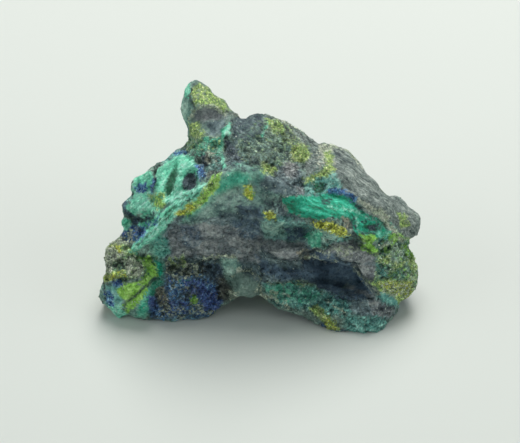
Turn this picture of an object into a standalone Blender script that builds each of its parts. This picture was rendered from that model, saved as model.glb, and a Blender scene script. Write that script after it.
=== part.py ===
"""A hand specimen of quartz rock crusted with malachite, azurite and volborthite.

It is one broken stone, standing on three worn feet. It runs 45 mm from its low left lobe to the tip of the
slab on the right, and a horn stands up at its back.
"""

import math

import bmesh
import bpy
from mathutils import Matrix, Vector, noise
from mathutils.bvhtree import BVHTree
from mathutils.geometry import intersect_point_line
from mathutils.kdtree import KDTree

# Driving dimensions, in metres.
LENGTH = 0.045  # from the tip of the left lobe to the tip of the slab
EYE_DISTANCE = 0.230  # from which the layout sheet is true
LEAN = math.radians(42)  # how far the sheet's line of sight looks down

# The masses of the stone are laid out on a drawing sheet that faces the eye: so many units right and so many
# units down from its upper left corner, and so many millimetres from the sheet towards the eye.
OUTLINE_UNITS = 323.5  # the stone's length on the sheet
UNIT = LENGTH / OUTLINE_UNITS
SHEET_CENTRE = (260.0, 221.5)
GROUND_LINE = 333.0  # where the sheet meets the ground
MM = 0.001

VOXEL = 0.32 * MM
TRIANGLES = 9000

SIGHT = Vector((0, -math.cos(LEAN), math.sin(LEAN)))  # from the sheet towards the eye
UP_SHEET = Vector((0, math.sin(LEAN), math.cos(LEAN)))
CENTRE = UP_SHEET * (GROUND_LINE - SHEET_CENTRE[1]) * UNIT
EYE = CENTRE + SIGHT * EYE_DISTANCE


def seen(across, down, toward):
    """The point that the eye sees at that place on the sheet, brought that many millimetres towards it."""
    on_sheet = CENTRE + Vector((across - SHEET_CENTRE[0], 0, 0)) * UNIT
    on_sheet += UP_SHEET * (SHEET_CENTRE[1] - down) * UNIT
    return on_sheet + (EYE - on_sheet) * (toward * MM / EYE_DISTANCE)


def put(x, y, z):
    """A point that the sheet's eye doesn't see, in millimetres."""
    return Vector((x, y, z)) * MM


# Each mass is the convex block round its corners.
MASSES = {
    "core": [
        seen(150, 190, -1), seen(160, 250, -1), seen(235, 180, 6), seen(250, 240, 0), seen(300, 195, 3),
        seen(370, 220, 0), seen(390, 250, -3), seen(385, 285, -7), seen(335, 262, -8),
        seen(270, 270, -5), seen(170, 275, -5), put(-15, 18, 4), put(-10, 22, 4), put(15, 20, 4),
        put(19, 15, 3), put(0, 12, 4), seen(195, 150, -2), seen(300, 150, -4), seen(365, 180, -4),
        put(-12, 14, 15), put(12, 16, 14),
    ],
    "horn": [
        seen(184, 85, 0), seen(190, 80, 0), seen(197, 80, 0), seen(208, 86, -0.5), seen(219, 95, -1),
        seen(229, 106, -1.5), seen(180, 97, 0), seen(203, 104, 3.4), seen(192, 108, 2.6),
        seen(190, 118, 2.2), seen(214, 106, 3), seen(229, 113, 2), seen(208, 124, 1.4),
        seen(226, 118, 1), seen(190, 132, -0.5), seen(179, 110, 0.3), seen(183, 122, 0),
        seen(202, 98, -5), seen(225, 116, -7), seen(194, 126, -6), seen(200, 140, -8),
    ],
    "horn_root": [
        seen(190, 133, 0.5), seen(191, 142, 0.5), seen(191, 120, 1.6), seen(203, 124, 2.2),
        seen(205, 119, 2.6), seen(222, 118, 3), seen(232, 122, 2.6), seen(198, 145, 4),
        seen(222, 142, 5), seen(240, 130, 3.5), seen(244, 117, -0.8), seen(229, 109, -1),
        seen(200, 150, -8), seen(240, 140, -9), seen(194, 140, -5),
    ],
    "crown": [
        seen(248, 116, -1), seen(256, 112, -1), seen(262, 110.5, -1.2), seen(268, 113, -1.4),
        seen(284, 123, -1.6), seen(298, 131, -2), seen(306, 134, -2), seen(316, 143, -2),
        seen(225, 145, 4.2), seen(242, 122, 1), seen(218, 160, 6.2), seen(250, 152, 5.6),
        seen(300, 168, 4.6), seen(318, 164, 2.6), seen(300, 185, 6), seen(262, 172, 7),
        seen(275, 140, 2.6), seen(265, 120, -8), seen(245, 127, -8), seen(300, 142, -9),
        seen(250, 160, -14), seen(210, 160, -10),
    ],
    "ridge": [
        seen(232, 165, 9.6), seen(243, 164, 9.6), seen(220, 173, 9.7), seen(206, 186, 8.8),
        seen(190, 201, 7.4), seen(172, 214, 6), seen(158, 226, 5), seen(146, 240, 3.5),
        seen(270, 176, 8.6), seen(255, 165, 8.4), seen(240, 185, 9.6), seen(200, 215, 7),
        seen(170, 240, 4.2), seen(165, 262, 1), seen(190, 262, 0.6), seen(228, 260, 0.6),
        seen(262, 240, 2.4), seen(280, 195, 7.8), seen(240, 150, 3), seen(210, 160, 2),
        seen(165, 205, -2), seen(200, 255, -5), seen(235, 225, 5.6), seen(255, 205, 8),
    ],
    "brow": [
        seen(262, 172, 8.6), seen(285, 186, 8), seen(306, 197, 7), seen(300, 215, 6.4),
        seen(318, 222, 5), seen(312, 236, 3.4), seen(285, 240, 3.4), seen(262, 238, 3.4),
        seen(250, 215, 7.2), seen(268, 215, 8), seen(280, 200, 8.2), seen(280, 222, 6),
        seen(262, 190, 0), seen(310, 215, -2), seen(285, 240, -3),
    ],
    "ledge": [
        seen(262, 240, 4), seen(268, 234, 3.2), seen(285, 234, 3.4), seen(303, 242, 3.8),
        seen(302, 252, 5.2), seen(297, 259, 5.8), seen(288, 262, 6), seen(278, 258, 5.8),
        seen(264, 250, 5), seen(258, 246, 4.2), seen(290, 252, 5.6), seen(270, 262, 1),
        seen(300, 262, 1.5), seen(285, 250, -3), seen(310, 245, -2),
    ],
    "ledge_right": [
        seen(303, 236, 3.6), seen(318, 233, 4.2), seen(335, 236, 4.4), seen(350, 243, 4),
        seen(366, 250, 3.6), seen(378, 258, 3.4), seen(374, 266, 2.6), seen(352, 263, 3.8),
        seen(338, 262, 3.8), seen(322, 252, 4.6), seen(306, 252, 4.4), seen(330, 266, 0),
        seen(365, 268, -2), seen(318, 236, -3), seen(365, 245, -4),
    ],
    "shelf": [
        seen(190, 143, 0.5), seen(178, 152, -0.2), seen(166, 162, -0.6), seen(152, 172, -1),
        seen(141, 177, -1), seen(133, 182, -1), seen(129, 191, -1), seen(135, 212, 0.6),
        seen(150, 213, 2.4), seen(165, 206, 4), seen(190, 194, 5.6), seen(207, 178, 7),
        seen(215, 158, 6.2), seen(205, 142, 4), seen(162, 165, -8), seen(150, 200, -6),
        seen(195, 160, -9), seen(160, 185, 2.4), seen(175, 205, -2), seen(145, 190, -7),
    ],
    "shelf_tip": [
        seen(131, 194, -0.8), seen(120, 201, -0.6), seen(117, 208, -0.5), seen(121, 215, -0.4),
        seen(132, 220, 0), seen(140, 214, 1.2), seen(150, 205, 2), seen(145, 192, 1),
        seen(128, 206, 0.5), seen(150, 200, -4), seen(140, 205, -4),
    ],
    "vein": [
        seen(207, 184, 9), seen(184, 205, 7.4), seen(160, 226, 5.4), seen(137, 252, 2.8),
        seen(129, 253, 2), seen(140, 236, 3.2), seen(158, 216, 4.6), seen(185, 194, 6.4),
        seen(150, 240, 0), seen(185, 210, 0), seen(165, 222, -3), seen(140, 248, -3),
    ],
    "vein_root": [
        seen(150, 213, 2.4), seen(160, 203, 4), seen(176, 197, 5.4), seen(192, 192, 6.6),
        seen(184, 203, 7), seen(168, 216, 5.6), seen(156, 222, 3.8), seen(172, 210, 6), seen(160, 214, -3),
    ],
    "gully": [
        seen(117, 237, -1), seen(124, 227, -1.5), seen(146, 216, -0.5), seen(156, 222, 1),
        seen(142, 245, 1.4), seen(122, 250, 0), seen(150, 225, -7), seen(130, 240, -8),
        seen(155, 250, -7), seen(160, 215, -6),
    ],
    "chip": [
        seen(116, 224, -1), seen(121, 217, -1), seen(129, 218, -1), seen(132, 227, -1),
        seen(123, 233, -1.2), seen(125, 224, 0), seen(136, 222, -2.5), seen(130, 230, -2),
    ],
    "lobe": [
        seen(109, 242, -0.5), seen(118, 236, 0), seen(107, 258, 0), seen(102, 275, 0),
        seen(103, 290, -0.5), seen(99, 298, -1.2), seen(102, 306, -1.4), seen(112, 313, -1.6),
        seen(128, 313, -0.8), seen(130, 250, 1.5), seen(150, 262, 2), seen(118, 285, 2.2),
        seen(143, 284, 2.8), seen(130, 304, 1.4), seen(150, 300, 1.8), seen(142, 320, -1.9),
        seen(152, 321, -1.9), seen(120, 270, -7), seen(115, 300, -6), seen(150, 290, -8),
        seen(118, 262, 1.2), seen(125, 320, -4), seen(105, 300, -4),
    ],
    "toe": [
        seen(112, 312, -1.4), seen(115, 322, -1.9), seen(122, 322, -1.9), seen(128, 314, -1.2),
        seen(120, 308, -0.2), seen(120, 316, -4),
    ],
    "drum": [
        seen(152, 262, 2), seen(190, 260, 1), seen(222, 262, 0.8), seen(222, 280, 0),
        seen(220, 303, -1), seen(213, 319, -2), seen(180, 321, -1.9), seen(150, 321, -1.9),
        seen(160, 298, 1.4), seen(195, 300, 0.9), seen(170, 278, 2.2), seen(200, 280, 1.4),
        seen(160, 280, -9), seen(215, 285, -8), seen(190, 305, -7),
    ],
    "ball": [
        seen(232, 272, 1.6), seen(230, 283, 1), seen(233, 295, 0), seen(246, 299, 0), seen(259, 296, 0),
        seen(263, 284, 0.8), seen(259, 272, 1.6), seen(246, 268, 2), seen(246, 280, 3),
        seen(240, 287, 2.4), seen(253, 287, 2.4), seen(232, 275, -5), seen(262, 280, -5),
        seen(247, 290, -5),
    ],
    "apron": [
        seen(220, 258, 1), seen(244, 256, 2), seen(262, 252, 2), seen(268, 270, 1), seen(246, 276, 1),
        seen(228, 296, -1), seen(224, 272, 0.6), seen(282, 274, -0.4), seen(270, 284, -0.6),
        seen(240, 262, -6), seen(265, 275, -7), seen(225, 285, -7), seen(285, 262, -2),
    ],
    "slab": [
        seen(318, 145, -2), seen(326, 142, -2), seen(335, 144, -2), seen(350, 151, -2),
        seen(361, 163, -1.6), seen(371, 176, -1.2), seen(384, 190, -1), seen(391, 200, -0.6),
        seen(403, 237, 0.8), seen(392, 228, 2.4), seen(381, 218, 3.4), seen(366, 211, 4),
        seen(352, 200, 4.6), seen(356, 194, 4.6), seen(340, 172, 3), seen(305, 165, 4),
        seen(395, 212, 2.6), seen(310, 150, -1), seen(408, 226, 0.8), seen(392, 215, -6),
        seen(360, 180, -10), seen(325, 160, -12), seen(355, 205, -3), seen(385, 222, -2),
    ],
    "slab_tip": [
        seen(386, 196, -0.6), seen(391, 194.5, -1), seen(396, 194.5, -1), seen(404, 199.5, -1),
        seen(413, 207, -0.8), seen(420, 214, -0.6), seen(424, 220, -0.7), seen(422, 233, -0.8),
        seen(418, 240, -0.9), seen(407, 239, -0.2), seen(402, 231, 1), seen(412, 222, 1),
        seen(394, 212, 2.4), seen(386, 208, 2), seen(410, 225, -4), seen(396, 210, -5),
    ],
    "band": [
        seen(283, 197, 7.2), seen(305, 195, 5.4), seen(330, 190, 3), seen(350, 196, 2.6),
        seen(358, 208, 3.4), seen(352, 216, 5.6), seen(330, 220, 6.8), seen(316, 219, 7.2),
        seen(292, 212, 7.8), seen(290, 205, 7.6), seen(345, 222, 4.4), seen(312, 226, 4.6),
        seen(320, 215, -4), seen(350, 220, -4), seen(300, 210, -3),
    ],
    "band_end": [
        seen(350, 204, 3), seen(362, 211, 2.4), seen(385, 221, 2), seen(396, 230, 1.2),
        seen(394, 238, 1.8), seen(376, 244, 4), seen(362, 240, 4.8), seen(353, 232, 5),
        seen(352, 216, 5), seen(380, 234, 3.6), seen(370, 235, -4), seen(390, 238, -3),
        seen(355, 220, -2), seen(370, 222, 3.6),
    ],
    "yellow_step": [
        seen(313, 219, 6.4), seen(330, 219, 6.4), seen(343, 221, 5.6), seen(350, 234, 5.8),
        seen(338, 237, 6), seen(322, 233, 6.8), seen(310, 226, 7), seen(330, 240, 3), seen(312, 230, 2),
        seen(348, 238, 2.6), seen(357, 223, 3.2), seen(357, 236, 3.4), seen(325, 225, -3),
    ],
    "cheek": [
        seen(385, 230, 2.4), seen(402, 238, 1), seen(411, 240, -0.6), seen(414, 252, -0.8),
        seen(418, 264, -1), seen(420, 279, -1.5), seen(415, 290, -2), seen(407, 299, -2.4),
        seen(400, 305, -2.2), seen(379, 298, 1.2), seen(369, 281, 2.2), seen(360, 268, 2.6),
        seen(366, 238, 3.4), seen(376, 256, 3.8), seen(388, 270, 3.4), seen(395, 285, 2),
        seen(400, 258, 2), seen(400, 260, -7), seen(395, 290, -6), seen(375, 270, -5),
        seen(380, 250, -6),
    ],
    "foot": [
        seen(403, 302, -2), seen(398, 313, -2), seen(392, 323, -1.9), seen(383, 332, -0.5),
        seen(373, 335, -0.1), seen(352, 336, 0), seen(332, 331, -0.5), seen(313, 323, -1.2),
        seen(292, 317, -1.4), seen(274, 307, -1), seen(262, 298, -0.2), seen(272, 284, 0),
        seen(300, 280, -0.6), seen(322, 282, -1), seen(342, 292, -0.6), seen(378, 300, 1),
        seen(374, 312, 1.8), seen(345, 312, 1.6), seen(310, 300, 1), seen(385, 310, 0.8),
        seen(300, 288, -6), seen(350, 295, -8), seen(390, 306, -6), seen(330, 320, -4),
        seen(380, 322, -5),
    ],
    "back": [
        put(-16, 18, 2), put(-12, 20.5, 0), put(-4, 22, -0.9), put(5, 22.5, -0.9), put(14, 20, -0.4),
        put(18, 16.5, 1.5), put(-8, 16, -0.8), put(8, 16, -0.4), put(-9, 25, 11), put(2, 26.5, 8),
        put(13, 22, 6), put(-14, 19.5, 11), put(18, 15, 8), put(-2, 23, 18), put(8, 20.5, 14),
        put(-9, 23, 19), put(15, 18.5, 10),
    ],
    "underside": [
        put(-16, 11, 1), put(-15, 20, 0.8), put(16, 11, 1.6), put(17, 18, 1.4), put(-3, 10.5, 2.6),
        put(5, 10.5, 2.6), put(0, 16, 1), put(-14, 9, 4), put(14, 9, 4), put(0, 9, 5), put(-12, 20, 6),
        put(12, 20, 6),
    ],
    "back_step": [
        put(-19, 12, 2), put(-17, 17, 1), put(-12, 20, 2), put(-18, 12, 9), put(-14, 18, 13),
        put(-10, 14, 3), put(-16, 8, 3), put(-9, 18, 14),
    ],
    # what lies behind the creases between the masses
    "saddle": [
        seen(197, 138, 2.6), seen(222, 138, 3.8), seen(215, 162, 5.2), seen(240, 156, 4.4),
        seen(195, 152, 2.6), seen(200, 145, -8), seen(240, 150, -10), seen(225, 165, -2),
    ],
    "trough": [
        seen(292, 166, 4.4), seen(335, 170, 2), seen(352, 192, 2.4), seen(300, 198, 6),
        seen(335, 198, 3), seen(322, 180, 3), seen(278, 175, 7.8), seen(288, 182, 7.2),
        seen(298, 188, 6.4), seen(300, 180, -6), seen(350, 180, -9), seen(330, 200, -4),
    ],
    "under_shelf": [
        seen(131, 213, -0.6), seen(152, 206, 2), seen(164, 206, 3), seen(126, 229, -1.6), seen(152, 230, 0.8),
        seen(138, 232, -0.4), seen(150, 205, -7), seen(135, 215, -7), seen(150, 235, -7), seen(130, 235, -7),
    ],
    "under_vein": [
        seen(140, 246, 1.4), seen(160, 236, 2.6), seen(168, 264, 0.6), seen(142, 264, 1.2),
        seen(155, 255, 1.6), seen(160, 240, -6), seen(140, 255, -6), seen(168, 268, -7),
    ],
    "under_ridge": [
        seen(228, 232, 3.6), seen(262, 234, 3), seen(268, 254, 2), seen(228, 262, 0.6),
        seen(250, 262, 0.6), seen(230, 240, -6), seen(265, 240, -6), seen(250, 265, -7),
    ],
    "under_band": [
        seen(348, 234, 3.4), seen(374, 236, 2.8), seen(379, 258, 2.8), seen(350, 250, 3),
        seen(340, 240, 3.4), seen(350, 240, -6), seen(380, 245, -6), seen(375, 262, -4),
    ],
    "by_the_ball": [
        seen(212, 268, 0), seen(234, 268, 0.8), seen(219, 308, -1.8), seen(237, 300, -0.8),
        seen(222, 285, -0.2), seen(215, 275, -8), seen(235, 280, -8), seen(225, 300, -6),
    ],
    "hollow_side": [
        seen(262, 250, 1.4), seen(284, 252, 1), seen(308, 248, 0), seen(322, 262, -1.4),
        seen(318, 284, -1.4), seen(282, 283, -0.4), seen(264, 278, 0.2), seen(290, 272, 0.2),
        seen(270, 262, -7), seen(315, 265, -7), seen(300, 285, -7),
    ],
    "hollow_back": [
        seen(284, 248, -1.5), seen(318, 240, -2.6), seen(352, 244, -3), seen(380, 260, -2),
        seen(374, 298, -3), seen(336, 298, -3.4), seen(285, 292, -2), seen(290, 270, -9),
        seen(350, 270, -10), seen(330, 285, -10),
    ],
    "rib": [
        seen(352, 258, 1), seen(378, 258, 1.8), seen(383, 296, 0.4), seen(378, 296, 0.6), seen(364, 279, 0.8),
        seen(353, 267, 0.8), seen(356, 262, -6), seen(380, 266, -6), seen(380, 292, -5),
    ],
    "hollow_end": [
        seen(346, 284, -2.4), seen(360, 282, -0.8), seen(378, 294, 0.3), seen(376, 300, 0.6),
        seen(360, 297, -0.4), seen(346, 293, -1.6), seen(350, 288, -7), seen(374, 296, -6),
    ],
    "by_the_foot": [
        seen(256, 276, 0.2), seen(278, 276, -0.6), seen(276, 303, -1), seen(257, 295, -0.6),
        seen(268, 284, -0.2), seen(260, 275, -8), seen(280, 280, -8), seen(268, 295, -6),
    ],
}

# Broken, weathered places, each drawn as a stroke of sheet points over the skin: how wide its brush is, and
# how far it moves the skin, in millimetres. A hollow has a negative height.
STROKES = [
    # the deep hole in the malachite shelf, and the groove beside it
    {"path": [(189, 177), (190, 185)], "width": 1.5, "height": -1.3},
    {"path": [(175, 168), (171, 181), (169, 192)], "width": 0.9, "height": -0.8},
    {"path": [(154, 172), (154, 190)], "width": 0.6, "height": -0.6},
    {"path": [(163, 164), (160, 196)], "width": 0.9, "height": 0.35},
    {"path": [(182, 160), (180, 192)], "width": 0.8, "height": 0.35},
    # under the shelf's front edge
    {"path": [(132, 218), (142, 220), (152, 218)], "width": 0.8, "height": -0.5},
    # between horn and crown, and below the horn
    {"path": [(228, 146), (238, 158)], "width": 1.2, "height": -0.5},
    {"path": [(207, 128), (222, 132)], "width": 1.2, "height": -0.5},
    {"path": [(222, 134), (229, 125)], "width": 0.7, "height": 0.5},
    # the hollow across the horn, and the edge over it
    {"path": [(197, 115), (208, 111), (220, 116)], "width": 0.9, "height": -0.5},
    {"path": [(192, 110), (203, 104), (214, 106), (227, 114)], "width": 0.5, "height": 0.35},
    # the trough that runs down from the crown between ridge and slab
    {"path": [(268, 170), (285, 177), (302, 186)], "width": 1.0, "height": -0.4},
    {"path": [(285, 181), (308, 197)], "width": 0.7, "height": 0.4},
    {"path": [(318, 180), (345, 186)], "width": 1.6, "height": -0.6},
    {"path": [(300, 148), (302, 158)], "width": 1.4, "height": 0.4},
    {"path": [(262, 140), (292, 152)], "width": 1.8, "height": -0.5},
    # the overhang below the slab, and the slit in the malachite
    {"path": [(354, 200), (366, 212), (382, 221), (396, 234)], "width": 0.7, "height": -0.4},
    {"path": [(367, 229), (377, 227)], "width": 0.8, "height": -0.9},
    {"path": [(330, 202), (352, 208), (380, 224)], "width": 0.9, "height": 0.35},
    # the dark hollows of the front
    {"path": [(236, 216), (256, 226)], "width": 1.8, "height": -0.8},
    {"path": [(286, 230), (310, 234)], "width": 1.6, "height": -0.8},
    {"path": [(205, 245), (245, 246)], "width": 1.4, "height": -0.5},
    {"path": [(180, 232), (215, 226)], "width": 1.5, "height": -0.6},
    {"path": [(204, 257), (232, 257)], "width": 0.6, "height": 0.5},
    {"path": [(170, 268), (216, 266)], "width": 1.0, "height": -0.8},
    # the lobe: its dark hollow, the crack and the green rim
    {"path": [(113, 266), (127, 265)], "width": 1.0, "height": -0.7},
    {"path": [(125, 306), (134, 296), (144, 287), (156, 279)], "width": 0.6, "height": -0.8},
    {"path": [(138, 304), (148, 292), (159, 284)], "width": 0.8, "height": 0.5},
    {"path": [(112, 275), (126, 274)], "width": 0.6, "height": 0.4},
    {"path": [(161, 292), (163, 306)], "width": 1.2, "height": -0.7},
    {"path": [(176, 276), (196, 280)], "width": 1.2, "height": 0.5},
    # the ball and the crease round it
    {"path": [(244, 267), (233, 273), (229, 284), (233, 294)], "width": 0.7, "height": -0.6},
    {"path": [(256, 268), (263, 276), (263, 288)], "width": 0.7, "height": -0.6},
    {"path": [(246, 280), (249, 285)], "width": 1.6, "height": 0.6},
    # the edge of the rib in the front hollow
    {"path": [(354, 268), (366, 281), (378, 292)], "width": 0.6, "height": 0.4},
    # the raised vein down the left, and the cleft beside it
    {"path": [(174, 214), (156, 230), (134, 251)], "width": 0.7, "height": 0.5},
    {"path": [(154, 222), (142, 233), (126, 247)], "width": 0.7, "height": -0.7},
    {"path": [(159, 212), (167, 206)], "width": 0.4, "height": -0.5},
    # the broken edge of the overhanging ledge, and chips out of it
    {"path": [(262, 247), (276, 256), (289, 262), (300, 257)], "width": 0.8, "height": 0.5},
    {"path": [(307, 258), (312, 252)], "width": 1.1, "height": -1.0},
    {"path": [(330, 262), (336, 266)], "width": 0.9, "height": -0.6},
    {"path": [(256, 250), (270, 262)], "width": 1.2, "height": -0.9},
    # steps across the front face
    {"path": [(166, 236), (186, 238), (206, 236)], "width": 0.8, "height": 0.5},
    {"path": [(208, 252), (226, 248), (246, 252)], "width": 0.8, "height": 0.5},
    {"path": [(196, 216), (216, 208), (232, 206)], "width": 0.9, "height": 0.4},
    {"path": [(262, 206), (276, 202)], "width": 1.0, "height": -0.6},
    {"path": [(284, 274), (306, 268), (322, 270)], "width": 0.8, "height": 0.5},
    {"path": [(150, 258), (170, 252), (196, 254)], "width": 0.7, "height": -0.5},
    {"path": [(212, 232), (230, 236), (252, 240)], "width": 0.8, "height": 0.45},
    {"path": [(224, 192), (240, 190), (256, 196)], "width": 0.8, "height": -0.4},
    {"path": [(340, 284), (352, 290), (364, 293)], "width": 0.7, "height": 0.4},
    {"path": [(335, 252), (358, 254)], "width": 0.8, "height": 0.4},
]

# Open pits in the crown and the slab, sheet points, each as wide and deep as PIT says.
PITS = [
    (243, 130), (252, 142), (261, 128), (264, 152), (276, 146), (283, 160), (288, 137), (308, 150),
    (322, 170), (246, 158), (236, 146), (345, 164), (362, 186), (378, 200), (398, 212), (212, 152),
    (224, 156), (204, 166), (386, 252), (398, 266), (404, 280), (388, 288), (300, 300), (322, 310),
    (352, 318), (368, 322), (120, 290),
]
PIT_WIDTH = 0.75  # millimetres, as the strokes are
PIT_DEPTH = -0.55

# Weathering over the whole skin, in millimetres: swells, lumps, and blocks between cracks, broken off in
# steps. The blocks are flatter than wide, and their beds dip to the right.
WEATHER_SWELL = 0.35
WEATHER_SWELL_SIZE = 4.5
WEATHER_LUMPS = 0.35
WEATHER_LUMP_SIZE = 1.8
BLOCK_SIZE = 4.2
BLOCK_STEP = 0.45
BED_DIP = 0.3
BED_SQUEEZE = 1.7
CRACK_WIDTH = 0.10  # of a block
CRACK_DEPTH = 0.2

COLOUR = (0.16, 0.24, 0.21, 1.0)


def convex_block(corners):
    """A closed mesh round the corners."""
    block = bmesh.new()
    for corner in corners:
        block.verts.new(corner)
    hull = bmesh.ops.convex_hull(block, input=block.verts)
    inside = {e for e in hull["geom_interior"] + hull["geom_unused"] if isinstance(e, bmesh.types.BMVert)}
    bmesh.ops.delete(block, geom=list(inside), context="VERTS")
    bmesh.ops.recalc_face_normals(block, faces=block.faces)
    mesh = bpy.data.meshes.new("block")
    block.to_mesh(mesh)
    block.free()
    return mesh


def stack_of_blocks():
    """All the masses as one mesh of overlapping blocks."""
    joined = bmesh.new()
    for corners in MASSES.values():
        mesh = convex_block(corners)
        joined.from_mesh(mesh)
        bpy.data.meshes.remove(mesh)
    mesh = bpy.data.meshes.new("specimen")
    joined.to_mesh(mesh)
    joined.free()
    return mesh


def apply_modifiers(obj):
    """Bakes the object's modifiers into its mesh."""
    graph = bpy.context.evaluated_depsgraph_get()
    mesh = bpy.data.meshes.new_from_object(obj.evaluated_get(graph))
    obj.modifiers.clear()
    old = obj.data
    obj.data = mesh
    bpy.data.meshes.remove(old)


def fuse(obj, voxel, softening):
    """Melts what overlaps into one skin."""
    remesh = obj.modifiers.new("fuse", "REMESH")
    remesh.mode = "VOXEL"
    remesh.voxel_size = voxel
    smooth = obj.modifiers.new("soften", "SMOOTH")
    smooth.factor = 0.5
    smooth.iterations = softening
    apply_modifiers(obj)


def distance_to_path(point, path):
    """How far the point lies from the polyline."""
    nearest = min((point - corner).length for corner in path)
    for start, end in zip(path, path[1:]):
        along, share = intersect_point_line(point, start, end)
        if 0 < share < 1:
            nearest = min(nearest, (point - along).length)
    return nearest


def brush(obj):
    """Lays every stroke on the skin where the eye sees it, and moves the skin there along its own slope."""
    mesh = obj.data
    skin = BVHTree.FromPolygons([v.co for v in mesh.vertices], [tuple(p.vertices) for p in mesh.polygons])
    tree = KDTree(len(mesh.vertices))
    for vertex in mesh.vertices:
        tree.insert(vertex.co, vertex.index)
    tree.balance()
    moves = {}
    pits = [{"path": [pit], "width": PIT_WIDTH, "height": PIT_DEPTH} for pit in PITS]
    for stroke in STROKES + pits:
        path, slopes = [], []
        for across, down in stroke["path"]:
            hit, slope, _, _ = skin.ray_cast(EYE, seen(across, down, 0) - EYE)
            path.append(hit)
            slopes.append(slope)
        along = sum(slopes, Vector()).normalized()
        reach = stroke["width"] * MM
        near = {i for _, i, _ in tree.find_range(path[0], reach)}
        for start, end in zip(path, path[1:]):
            middle = (start + end) / 2
            near.update(i for _, i, _ in tree.find_range(middle, (end - start).length / 2 + reach))
        for index in near:
            share = distance_to_path(mesh.vertices[index].co, path) / reach
            if share < 1:
                push = (1 - share * share) ** 2 * stroke["height"] * MM
                moves[index] = moves.get(index, Vector()) + along * push
    for index, move in moves.items():
        mesh.vertices[index].co += move


def weather(obj):
    """Roughens the skin with fractal noise, and breaks it into small steps."""
    mesh = obj.data
    normals = [v.normal.copy() for v in mesh.vertices]
    for vertex, normal in zip(mesh.vertices, normals):
        p = vertex.co / MM
        swell = WEATHER_SWELL * noise.noise(p / WEATHER_SWELL_SIZE)
        lumps = WEATHER_LUMPS * noise.noise(p / WEATHER_LUMP_SIZE + Vector((7, 0, 0)))
        bedded = Vector((p.x, p.y - BED_DIP * p.x, p.z * BED_SQUEEZE + BED_DIP * p.x)) / BLOCK_SIZE
        distances, cells = noise.voronoi(bedded)
        step = BLOCK_STEP * noise.noise(cells[0] * 3.7)
        crack = CRACK_DEPTH * max(0, 1 - (distances[1] - distances[0]) / CRACK_WIDTH)
        vertex.co += normal * (swell + lumps + step - crack) * MM


def thin_out(obj, triangles):
    """Lowers the number of triangles, keeping them where the skin bends."""
    mesh = obj.data
    fan = sum(len(p.vertices) - 2 for p in mesh.polygons)
    thin = obj.modifiers.new("thin", "DECIMATE")
    thin.ratio = triangles / fan
    thin.use_collapse_triangulate = True
    apply_modifiers(obj)


def wear_feet_flat(obj):
    """Cuts the stone level with the ground, so that each foot ends in a flat facet."""
    cut = bmesh.new()
    cut.from_mesh(obj.data)
    everything = cut.verts[:] + cut.edges[:] + cut.faces[:]
    ground = bmesh.ops.bisect_plane(
        cut, geom=everything, plane_co=(0, 0, 0), plane_no=(0, 0, -1), clear_outer=True
    )
    rims = [e for e in ground["geom_cut"] if isinstance(e, bmesh.types.BMEdge)]
    bmesh.ops.holes_fill(cut, edges=rims, sides=0)
    bmesh.ops.triangulate(cut, faces=[f for f in cut.faces if len(f.verts) > 3])
    bmesh.ops.remove_doubles(cut, verts=cut.verts, dist=0.0001)
    bmesh.ops.dissolve_degenerate(cut, edges=cut.edges, dist=0.00005)
    bmesh.ops.recalc_face_normals(cut, faces=cut.faces)
    cut.to_mesh(obj.data)
    cut.free()


def centre_on_footprint(obj):
    """Sets the middle of the stone's bounding box over the origin."""
    corners = [v.co for v in obj.data.vertices]
    across = (min(c.x for c in corners) + max(c.x for c in corners)) / 2
    along = (min(c.y for c in corners) + max(c.y for c in corners)) / 2
    obj.data.transform(Matrix.Translation((-across, -along, 0)))


def stone_material():
    """The crusted stone's own colour, on average."""
    material = bpy.data.materials.new("crusted_stone")
    material.use_nodes = True
    surface = material.node_tree.nodes["Principled BSDF"]
    surface.inputs["Base Color"].default_value = COLOUR
    surface.inputs["Roughness"].default_value = 0.75
    return material


def build():
    for obj in list(bpy.data.objects):
        bpy.data.objects.remove(obj)
    collection = bpy.data.collections.new("specimen")
    bpy.context.scene.collection.children.link(collection)
    obj = bpy.data.objects.new("specimen", stack_of_blocks())
    collection.objects.link(obj)
    fuse(obj, VOXEL, 3)
    brush(obj)
    fuse(obj, VOXEL, 1)
    weather(obj)
    thin_out(obj, TRIANGLES)
    wear_feet_flat(obj)
    centre_on_footprint(obj)
    obj.data.materials.append(stone_material())


build()
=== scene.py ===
"""The looks of a volborthite and azurite specimen.

A fine skin over the stone's solid carries the crusts in patches, and small crystals and grains stand on it.
"""

import math
import random

import bpy
import numpy as np
from mathutils import Matrix, Vector, noise
from mathutils.bvhtree import BVHTree
from mathutils.kdtree import KDTree


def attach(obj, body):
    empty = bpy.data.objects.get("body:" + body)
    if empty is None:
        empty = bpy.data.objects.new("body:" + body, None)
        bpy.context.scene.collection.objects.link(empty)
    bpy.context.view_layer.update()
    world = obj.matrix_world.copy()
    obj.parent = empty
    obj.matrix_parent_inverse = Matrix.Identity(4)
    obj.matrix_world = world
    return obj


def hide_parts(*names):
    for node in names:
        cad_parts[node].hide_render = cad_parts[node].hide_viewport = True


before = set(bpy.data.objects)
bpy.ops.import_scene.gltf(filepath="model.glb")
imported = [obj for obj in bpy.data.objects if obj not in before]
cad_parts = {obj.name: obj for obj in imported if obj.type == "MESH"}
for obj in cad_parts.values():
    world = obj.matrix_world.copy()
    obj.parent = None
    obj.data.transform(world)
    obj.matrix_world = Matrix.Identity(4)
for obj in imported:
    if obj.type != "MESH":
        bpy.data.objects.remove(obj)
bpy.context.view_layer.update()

MM = 0.001

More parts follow.
